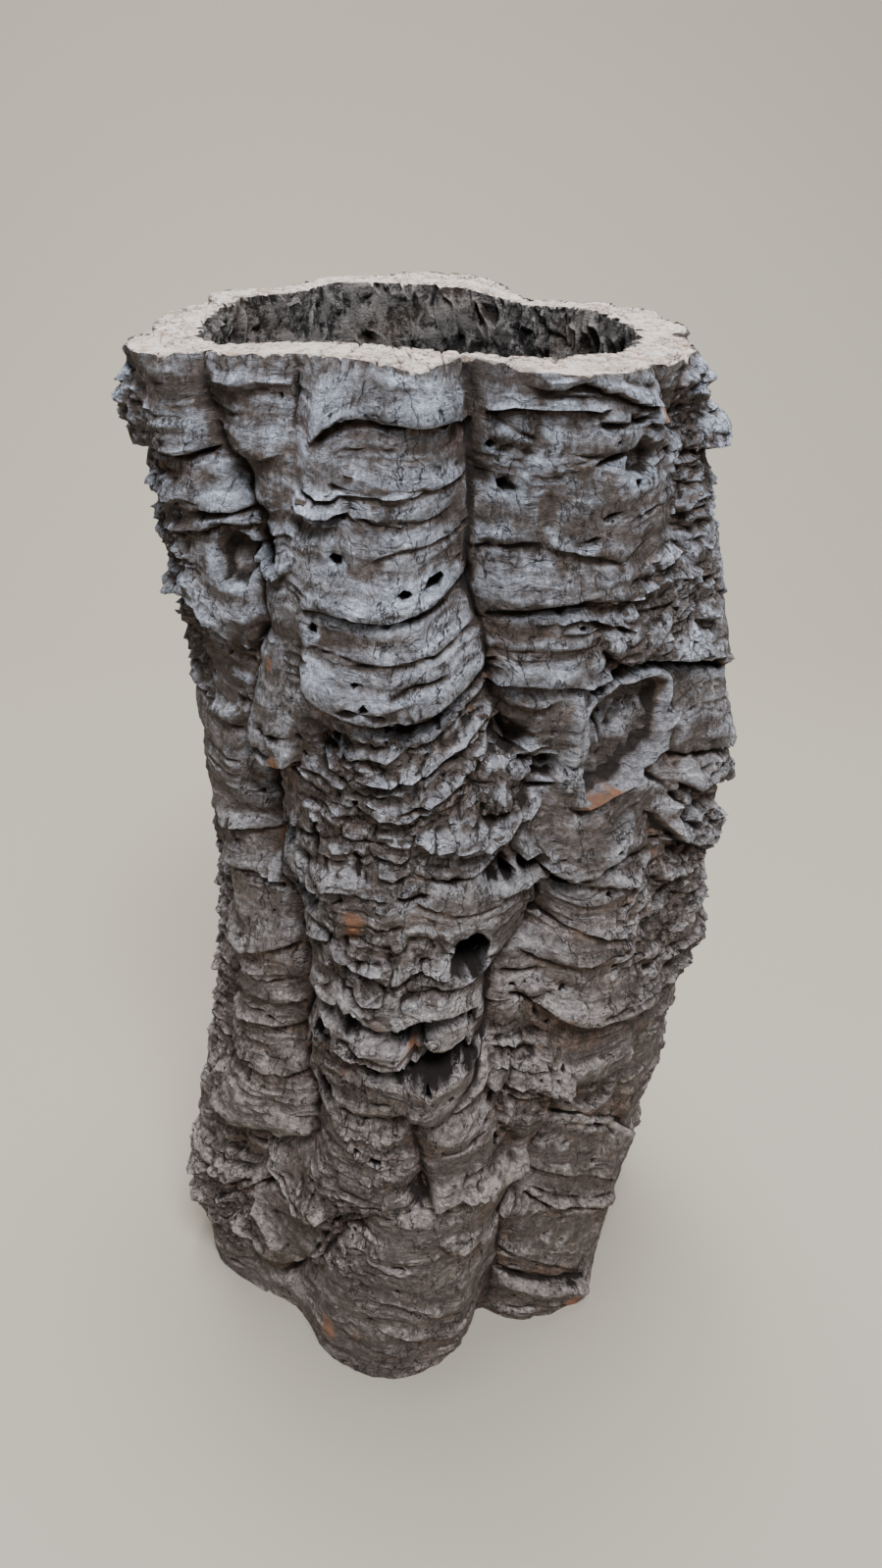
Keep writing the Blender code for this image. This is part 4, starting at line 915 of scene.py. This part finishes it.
def make_bark():
    """The whole wall of the tube, thinned out where it is flat."""
    bark = Bark(COLUMNS, ROWS_UP)
    bark.grow()
    outer = outer_rings(bark)
    inner = inner_rings(bark)
    rim = sawn_rings(bark, outer, inner, ROWS_ON_RIM, top=True)
    foot = sawn_rings(bark, outer, inner, ROWS_ON_FOOT, top=False)
    piece = linked("fine_bark", ring_mesh("fine_bark", [outer, rim, inner, foot]))
    thin_out = piece.modifiers.new("thin_out", "DECIMATE")
    thin_out.ratio = TRIANGLES / (2 * len(piece.data.polygons))
    plain_mesh(piece)
    piece.data.shade_smooth()
    piece.data.set_sharp_from_angle(angle=math.radians(SHARP_FOLD))
    return piece


class Wire:
    """A node's output that Python's arithmetic can be written on."""

    def __init__(self, nodes, socket):
        self.nodes = nodes
        self.socket = socket

    def math(self, operation, *values):
        return self.nodes.add("ShaderNodeMath", {"operation": operation}, values)

    def __add__(self, other):
        return self.math("ADD", self, other)

    __radd__ = __add__

    def __mul__(self, other):
        return self.math("MULTIPLY", self, other)

    __rmul__ = __mul__

    def __sub__(self, other):
        return self.math("SUBTRACT", self, other)

    def __rsub__(self, other):
        return self.math("SUBTRACT", other, self)

    def __abs__(self):
        return self.math("ABSOLUTE", self)

    def above(self, low, high):
        """0 below low and 1 above high, with a smooth rise between."""
        return self.nodes.add("ShaderNodeMapRange", {"interpolation_type": "SMOOTHSTEP"},
                              [self, low, high, 0.0, 1.0])

    def within(self):
        """The value kept between 0 and 1."""
        return self.nodes.add("ShaderNodeClamp", {}, [self, 0.0, 1.0])


class Nodes:
    """A node tree that is written as Python expressions."""

    def __init__(self, tree):
        self.tree = tree

    def add(self, kind, settings, sockets, out=0):
        """A node of that kind: its settings first, then its sockets by position, number or name."""
        made = self.tree.nodes.new(kind)
        for name, value in settings.items():
            setattr(made, name, value)
        pairs = sockets.items() if isinstance(sockets, dict) else enumerate(sockets)
        for key, value in pairs:
            if isinstance(value, Wire):
                self.tree.links.new(value.socket, made.inputs[key])
            elif value is not None:
                made.inputs[key].default_value = value
        return Wire(self, made.outputs[out])

    def vector(self, operation, a, b=None, scale=None):
        sockets = {0: a, 1: b} if b is not None else {0: a}
        if scale is not None:
            sockets["Scale"] = scale
        return self.add("ShaderNodeVectorMath", {"operation": operation}, sockets)


class Finish(Nodes):
    """A material on one Principled shader."""

    def __init__(self, name):
        self.material = bpy.data.materials.new(name)
        self.material.use_nodes = True
        super().__init__(self.material.node_tree)
        self.shader = self.tree.nodes["Principled BSDF"]

    def attribute(self, name):
        return self.add("ShaderNodeAttribute", {"attribute_name": name}, {}, out="Fac")

    def noise(self, place, size_mm, detail=3.0, roughness=0.55, distortion=0.0):
        """Noise whose features are about that many millimetres across, centred on a half."""
        return self.add("ShaderNodeTexNoise", {}, {
            "Vector": place, "Scale": 1 / (size_mm * MM), "Detail": detail, "Roughness": roughness,
            "Distortion": distortion}, out="Fac")

    def threads(self, place, size_mm, width, detail=2.0):
        """1 on thin lines that wander between features of that size, 0 off them."""
        return 1 - abs(self.noise(place, size_mm, detail) - 0.5).above(0.0, width)

    def cells(self, place, size_mm):
        """How far each place is from the middle of its cell, in cells of about that size."""
        return self.add("ShaderNodeTexVoronoi", {}, {"Vector": place, "Scale": 1 / (size_mm * MM)})

    def mix(self, factor, a, b, blend="MIX"):
        """Colour a, with colour b over it by the factor."""
        settings = {"data_type": "RGBA", "blend_type": blend, "clamp_factor": True}
        return self.add("ShaderNodeMix", settings, {0: factor, 6: a, 7: b}, out=2)

    def bumped(self, height, depth_mm):
        """The normal over relief of that depth where the height goes from 0 to 1."""
        sockets = {"Height": height, "Distance": depth_mm * MM, "Strength": 1.0}
        return self.add("ShaderNodeBump", {}, sockets)

    def done(self, **values):
        """Gives the shader its values, named as its sockets are, and returns the material."""
        for name, value in values.items():
            socket = self.shader.inputs[name.replace("_", " ")]
            if isinstance(value, Wire):
                self.tree.links.new(value.socket, socket)
            else:
                socket.default_value = value
        return self.material


GREY = (0.200, 0.168, 0.158, 1)
DUN = (0.102, 0.073, 0.057, 1)
# The next two are painted highlight colours for crests that face up: blue-grey higher up, straw lower down.
PAINTED_HIGHLIGHT_COOL = (0.53, 0.585, 0.70, 1)
PAINTED_HIGHLIGHT_WARM = (0.44, 0.37, 0.33, 1)
UMBER = (0.098, 0.054, 0.034, 1)
RUST = (0.25, 0.145, 0.092, 1)
# Black for painted shade in nooks and splits, and for real dark cracks and pores.
SHADE_AND_MARK_BLACK = (0.014, 0.0075, 0.005, 1)
ORANGE = (0.46, 0.205, 0.11, 1)
CREAM = (1.0, 0.88, 0.78, 1)
BISCUIT = (0.52, 0.32, 0.21, 1)
ASH = (0.275, 0.253, 0.238, 1)
CHAR = (0.014, 0.011, 0.010, 1)
PORE = (0.045, 0.03, 0.022, 1)
PAPER = (0.41, 0.375, 0.305, 1)
# Higher up, the painted highlight on the crests is also stronger and bluer.
TURNS_COOL = (0.16, 0.50)  # metres up the tube between which the bark turns from brown to blue-grey
WANDER_MM = 7  # how far the grain strays from straight


def sawn_colour(f, place, patches, split):
    """Cream where the saw passed, with brown patches and cracks, and dark where a pore is open."""
    wood = f.mix(f.noise(place, 9, 6, 0.75).above(0.50, 0.64) * 0.85, CREAM, BISCUIT)
    wood = f.mix(f.noise(place, 5, 6, 0.8).above(0.60, 0.68) * 0.8, wood, UMBER)
    wood = f.mix(f.threads(place, 9, 0.035, 4.0) * patches.above(0.42, 0.6), wood, UMBER)
    wood = f.mix((1 - f.cells(place, 3.6).above(0.1, 0.2)) * 0.8, wood, UMBER)
    return f.mix(split.above(0.2, 0.7), wood, PORE)


def lining_colour(f, place, patches, grit, nook):
    """The crust on the wall of the hollow: ash grey with black blotches, a little painted shade in its
    recesses, and a little brown.
    """
    soot = f.noise(place, 12, 7, 0.78)
    # nook makes recesses a little darker: painted shade.
    lining = f.mix((soot * 1.5 + grit * 0.25 - nook * 0.10).above(0.80, 1.02), CHAR, ASH)
    return f.mix(patches.above(0.5, 0.7) * 0.2, lining, RUST)


def bark_finish():
    """Weathered grey bark, brown where it is sheltered (partly painted shade), painted highlights on
    up-facing crests, painted shade in nooks, black in its splits, cream where it is sawn.
    """
    f = Finish("weathered_cork")
    place = f.add("ShaderNodeTexCoord", {}, {}, out="Object")
    from_axis = f.vector("ADD", place, AXIS_TO_MIDDLE)
    outward = f.vector("NORMALIZE", f.vector("MULTIPLY", from_axis, (1, 1, 0)))
    growth = f.attribute("growth")
    level = f.add("ShaderNodeCombineXYZ", {}, [None, None, growth])
    skin = f.vector("ADD", level, f.vector("SCALE", outward, scale=MEAN_RADIUS * MM))
    stray = f.add("ShaderNodeTexNoise", {}, {"Vector": place, "Scale": 90.0, "Detail": 2.0}, out="Color")
    stray = f.vector("SUBTRACT", stray, (0.5, 0.5, 0.5))
    skin = f.vector("ADD", skin, f.vector("SCALE", stray, scale=WANDER_MM * MM))
    along = f.vector("MULTIPLY", skin, (0.16, 0.16, 1))
    upright = f.vector("MULTIPLY", skin, (1, 1, 0.12))

    nook, shelter, lit = f.attribute("nook"), f.attribute("shelter"), f.attribute("lit")
    craggy, brown, split = f.attribute("craggy"), f.attribute("brown"), f.attribute("split")
    fresh, sawn, hollow = f.attribute("fresh"), f.attribute("sawn"), f.attribute("hollow")
    cool = growth.above(*TURNS_COOL)

    # The grain, from broad patches down to grit, and its dark seams and cracks.
    patches = f.noise(place, 34, 4, 0.6)
    mottle = f.noise(place, 6, 6, 0.7)
    grit = f.noise(place, 2.0, 6, 0.82).above(0.32, 0.68)
    lines = f.noise(along, 2.0, 5, 0.75, 0.4).above(0.33, 0.67)
    bands = f.noise(along, 8, 3, 0.6, 0.6).above(0.32, 0.68)
    combed = f.noise(upright, 0.9, 3, 0.6).above(0.33, 0.67)
    seams = f.threads(along, 4.6, 0.020) * mottle.above(0.44, 0.58) * (1 - craggy * 0.6)
    chinks = f.threads(place, 7.0, 0.030, 4.0) * (0.25 + 0.75 * craggy)
    steep = f.vector("MULTIPLY", skin, (1, 1, 0.4))
    checks = f.threads(steep, 8.0, 0.024, 4.0) * patches.above(0.36, 0.55)

    # Grey bark, tanned where it is sheltered and where it faces down (its own brown, and painted shade), with
    # a painted highlight on its up-facing crests.
    colour = f.mix((mottle * 1.0 + patches * 0.6 - cool * 0.04 - 0.30).above(0.2, 0.7), DUN, GREY)
    # Tan: the bark's own brown where sheltered, with painted shade under lips and on faces turned down.
    tan = (brown * 0.9 + shelter * 0.4 - lit * 0.35 + (patches - 0.5) * 1.1 + (mottle - 0.5) * 1.3
           + 0.2 - cool * 0.26).above(0.0, 0.9)
    colour = f.mix(tan * 0.85, colour, f.mix(mottle.above(0.35, 0.7), UMBER, RUST))
    # Painted highlight: pale on crests that face up, less in nooks and under lips, stronger and bluer higher
    # up the tube.
    crest = (lit * 0.75 - nook * 0.4 - shelter * 0.25 + (mottle - 0.5) * 1.6 + (bands - 0.5) * 0.4
             + (patches - 0.5) * 0.8 + cool * 0.10 + 0.06 - craggy * 0.26).above(0.0, 1.1)
    colour = f.mix(crest * (1 - brown * 0.6), colour, f.mix(cool * 0.85 + 0.1, PAINTED_HIGHLIGHT_WARM, PAINTED_HIGHLIGHT_COOL))
    shade = (0.68 + 0.64 * lines) * (0.84 + 0.32 * bands) * (0.90 + 0.20 * combed)
    shade = shade * (0.48 + 1.04 * grit)
    shades = f.add("ShaderNodeCombineColor", {}, [shade, shade, shade])
    colour = f.mix(1.0, colour, shades, "MULTIPLY")
    # Painted shade in nooks and hollows; black in splits, holes and fine cracks (partly painted shade);
    # orange where it is freshly broken.
    painted_nook_shade = (nook * 0.7 + shelter * 0.35 + (grit - 0.5) * 0.3).above(0.25, 1.2)
    black = (split.above(0.25, 0.8) + painted_nook_shade * 0.85 + seams * 0.75 + chinks * 0.8 + checks * 0.8).within()
    colour = f.mix(black * (1 - fresh), colour, SHADE_AND_MARK_BLACK)
    pores = 1 - f.cells(place, 6.5).above(0.05, 0.11)
    colour = f.mix(pores * 0.7, colour, SHADE_AND_MARK_BLACK)
    colour = f.mix((fresh * (0.3 + 1.3 * mottle)).above(0.25, 0.8), colour, f.mix(lines, RUST, ORANGE))
    colour = f.mix(sawn.above(0.4, 0.6), colour, sawn_colour(f, place, patches, split))
    colour = f.mix(hollow.above(0.4, 0.6), colour, lining_colour(f, place, patches, grit, nook))

    height = (lines * 0.60 + combed * 0.15 + grit * 0.60 + mottle * 0.9
              - pores * 0.6 - seams * 0.6 - chinks * 0.7 - checks * 0.6)
    return f.done(Base_Color=colour, Roughness=0.62 + 0.3 * grit, Normal=f.bumped(height, 1.0))


class Scatter(Nodes):
    """A geometry tree with named inputs, each with its value."""

    def __init__(self, name, inputs):
        super().__init__(bpy.data.node_groups.new(name, "GeometryNodeTree"))
        face = self.tree.interface
        face.new_socket("Geometry", in_out="INPUT", socket_type="NodeSocketGeometry")
        for label, value in inputs.items():
            kind = "NodeSocketInt" if isinstance(value, int) else "NodeSocketFloat"
            face.new_socket(label, in_out="INPUT", socket_type=kind)
        face.new_socket("Geometry", in_out="OUTPUT", socket_type="NodeSocketGeometry")
        self.inputs = inputs
        self.entry = self.tree.nodes.new("NodeGroupInput")

    def given(self, label):
        return Wire(self, self.entry.outputs[label])

    def named(self, attribute):
        return self.add("GeometryNodeInputNamedAttribute", {"data_type": "FLOAT"}, [attribute])

    def chance(self, low, high, seed):
        """A random number for each flake."""
        sockets = {"Min": low, "Max": high, "Seed": seed}
        made = self.tree.nodes.new("FunctionNodeRandomValue")
        made.data_type = "FLOAT"
        number_sockets = {socket.name: socket for socket in made.inputs if socket.enabled}
        for name, value in sockets.items():
            if isinstance(value, Wire):
                self.tree.links.new(value.socket, number_sockets[name])
            else:
                number_sockets[name].default_value = value
        return Wire(self, next(socket for socket in made.outputs if socket.enabled))

    def put_on(self, piece):
        """Adds the tree to the piece, with its inputs set."""
        modifier = piece.modifiers.new(self.tree.name, "NODES")
        modifier.node_group = self.tree
        for item in self.tree.interface.items_tree:
            if item.in_out == "INPUT" and item.name in self.inputs:
                modifier[item.identifier] = self.inputs[item.name]


FLAKES = {
    "Flakes per square metre": 12000.0, "Longest": 0.005, "Shortest": 0.0018, "Tallest": 0.0024,
    "Thickest": 0.0010, "Seed": 11,
}
FLAKE_SHAPES = 6
CORNERS_STRAY = 0.3  # how far each corner of a unit block is moved, to make it a chip


def chip_turned(s, normal, seed):
    """Each chip's turn: flat on the bark, along the growth lines, with its lower edge lifted."""
    position = s.add("GeometryNodeInputPosition", {}, {})
    outward = s.vector("MULTIPLY", s.vector("ADD", position, AXIS_TO_MIDDLE), (1, 1, 0))
    level = s.vector("NORMALIZE", s.vector("CROSS_PRODUCT", (0, 0, 1), outward))
    climb = s.add("ShaderNodeCombineXYZ", {}, [None, None, s.named("slant")])
    along = s.vector("ADD", level, climb)
    turned = s.add("FunctionNodeAlignRotationToVector", {"axis": "Z"}, {"Vector": normal})
    turned = s.add("FunctionNodeAlignRotationToVector", {"axis": "X", "pivot_axis": "Z"},
                   {"Rotation": turned, "Vector": along})
    tilt = s.add("ShaderNodeCombineXYZ", {}, [s.chance(-0.3, 0.0, seed + 2), s.chance(-0.1, 0.1, seed + 3),
                                             s.chance(-0.2, 0.2, seed + 4)])
    tilt = s.add("FunctionNodeEulerToRotation", {}, [tilt])
    return s.add("FunctionNodeRotateRotation", {"rotation_space": "LOCAL"}, {0: turned, 1: tilt})


def chip_size(s, seed):
    """Each chip's length, height and thickness."""
    long = s.chance(s.given("Shortest"), s.given("Longest"), seed + 5)
    tall = s.chance(0.4, 1.0, seed + 6) * s.given("Tallest")
    thick = s.chance(0.45, 1.0, seed + 7) * s.given("Thickest")
    return s.add("ShaderNodeCombineXYZ", {}, [long, tall, thick])


def chip_shapes(s):
    """A few unit blocks with their corners moved, to choose from."""
    shapes = s.tree.nodes.new("GeometryNodeJoinGeometry")
    for number in range(FLAKE_SHAPES):
        block = s.add("GeometryNodeMeshCube", {}, {"Size": (1, 1, 1)})
        strays = [s.chance(-CORNERS_STRAY, CORNERS_STRAY, 100 + 3 * number + axis) for axis in range(3)]
        shift = s.add("ShaderNodeCombineXYZ", {}, strays)
        block = s.add("GeometryNodeSetPosition", {}, {"Geometry": block, "Offset": shift})
        block = s.add("GeometryNodeGeometryToInstance", {}, [block])
        s.tree.links.new(block.socket, shapes.inputs[0])
    return Wire(s, shapes.outputs[0])


def flake_scatter(finish):
    """Chips of bark, set where the mesh says that it is flaky."""
    s = Scatter("scattered_flakes", FLAKES)
    seed = s.given("Seed")
    density = s.given("Flakes per square metre") * s.named("flaky")
    scattered = s.tree.nodes.new("GeometryNodeDistributePointsOnFaces")
    for name, value in (("Mesh", s.given("Geometry")), ("Density", density), ("Seed", seed)):
        s.tree.links.new(value.socket, scattered.inputs[name])
    seats, normal = Wire(s, scattered.outputs["Points"]), Wire(s, scattered.outputs["Normal"])
    # Each chip gets its own random nook and lit, so its painted shade and highlight vary, and no black split.
    nook, lit = s.chance(-0.6, 0.6, seed + 1), s.chance(-0.5, 0.6, seed + 9)
    for field, value in (("nook", nook), ("lit", lit), ("split", 0.0)):
        seats = s.add("GeometryNodeStoreNamedAttribute", {"data_type": "FLOAT", "domain": "POINT"},
                      {"Geometry": seats, "Name": field, "Value": value})
    placed = s.add("GeometryNodeInstanceOnPoints", {}, {
        "Points": seats, "Instance": chip_shapes(s), "Pick Instance": True,
        "Instance Index": s.chance(0.0, FLAKE_SHAPES - 0.001, seed + 8),
        "Rotation": chip_turned(s, normal, seed), "Scale": chip_size(s, seed)})
    solid = s.add("GeometryNodeRealizeInstances", {}, [placed])
    solid = s.add("GeometryNodeSetMaterial", {}, {"Geometry": solid, "Material": finish})
    leave = s.tree.nodes.new("NodeGroupOutput")
    s.tree.links.new(solid.socket, leave.inputs[0])
    return s


def make_flakes(bark, finish):
    """The loose chips, all in one mesh."""
    piece = linked("bark_flakes", bark.data.copy())
    flake_scatter(finish).put_on(piece)
    return plain_mesh(piece)


CAMERA_PLACE = Vector((8, -501, 571))  # from the foot of the hollow's axis
CAMERA_LOOKS_DOWN = math.radians(30)


def add_camera():
    """The photograph's view: a telephone held above and in front, looking down at the branch."""
    data = bpy.data.cameras.new("camera")
    data.lens = 27
    data.sensor_width = 36
    camera = bpy.data.objects.new("camera", data)
    camera.location = CAMERA_PLACE * MM - Vector(AXIS_TO_MIDDLE)
    camera.rotation_euler = (math.pi / 2 - CAMERA_LOOKS_DOWN, 0, 0)
    bpy.context.scene.collection.objects.link(camera)
    bpy.context.scene.camera = camera


BACKDROP_STEPS = 12


def add_backdrop():
    """A floor that sweeps up into a wall behind."""
    half, front, back, high, bend = 6.0, -4.0, 1.6, 4.0, 0.8
    profile = [(front, 0.0)]
    for step in range(BACKDROP_STEPS + 1):
        turn = math.pi / 2 * step / BACKDROP_STEPS
        profile.append((back - bend + bend * math.sin(turn), bend - bend * math.cos(turn)))
    profile.append((back, high))
    points, faces = [], []
    for y, z in profile:
        points += [(-half, y, z), (half, y, z)]
    for k in range(len(profile) - 1):
        faces.append((2 * k, 2 * k + 1, 2 * k + 3, 2 * k + 2))
    mesh = bpy.data.meshes.new("backdrop")
    mesh.from_pydata(points, [], faces)
    mesh.shade_smooth()
    mesh.materials.append(backdrop_finish())
    linked("backdrop", mesh)


def backdrop_finish():
    """Plain pale paper."""
    f = Finish("pale_paper")
    return f.done(Base_Color=PAPER, Roughness=0.85)


# Each light's name, its place, the height on the axis that it faces, its size, power and colour.
LIGHTS = [
    ("window", (0.35, -1.2, 2.3), 0.3, 0.9, 74, (0.94, 0.965, 1.0)),
    ("ceiling", (0.1, 0.2, 2.4), 0.3, 1.0, 50, (0.97, 0.98, 1.0)),
    ("fill_from_behind", (-0.7, 1.2, 1.5), 0.25, 1.2, 14, (1.0, 0.98, 0.95)),
]
SKY, SKY_STRENGTH = (0.95, 0.96, 1.0, 1), 0.30


def add_light(name, place, faces, size, power, colour):
    data = bpy.data.lights.new(name, "AREA")
    data.shape = "DISK"
    data.size = size
    data.energy = power
    data.color = colour
    light = bpy.data.objects.new(name, data)
    light.location = place
    towards = Vector((0, 0, faces)) - Vector(place)
    light.rotation_euler = towards.to_track_quat("-Z", "Y").to_euler()
    bpy.context.scene.collection.objects.link(light)


def light_the_studio():
    world = bpy.data.worlds.new("soft_sky")
    world.use_nodes = True
    sky = world.node_tree.nodes["Background"]
    sky.inputs["Color"].default_value = SKY
    sky.inputs["Strength"].default_value = SKY_STRENGTH
    bpy.context.scene.world = world
    for light in LIGHTS:
        add_light(*light)


def make_scene():
    add_camera()
    add_backdrop()
    light_the_studio()
    finish = bark_finish()
    bark = make_bark()
    flakes = make_flakes(bark, finish)
    bark.data.materials.clear()
    bark.data.materials.append(finish)
    for piece in (bark, flakes):
        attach(piece, "root")
    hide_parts("cork_bark")


make_scene()
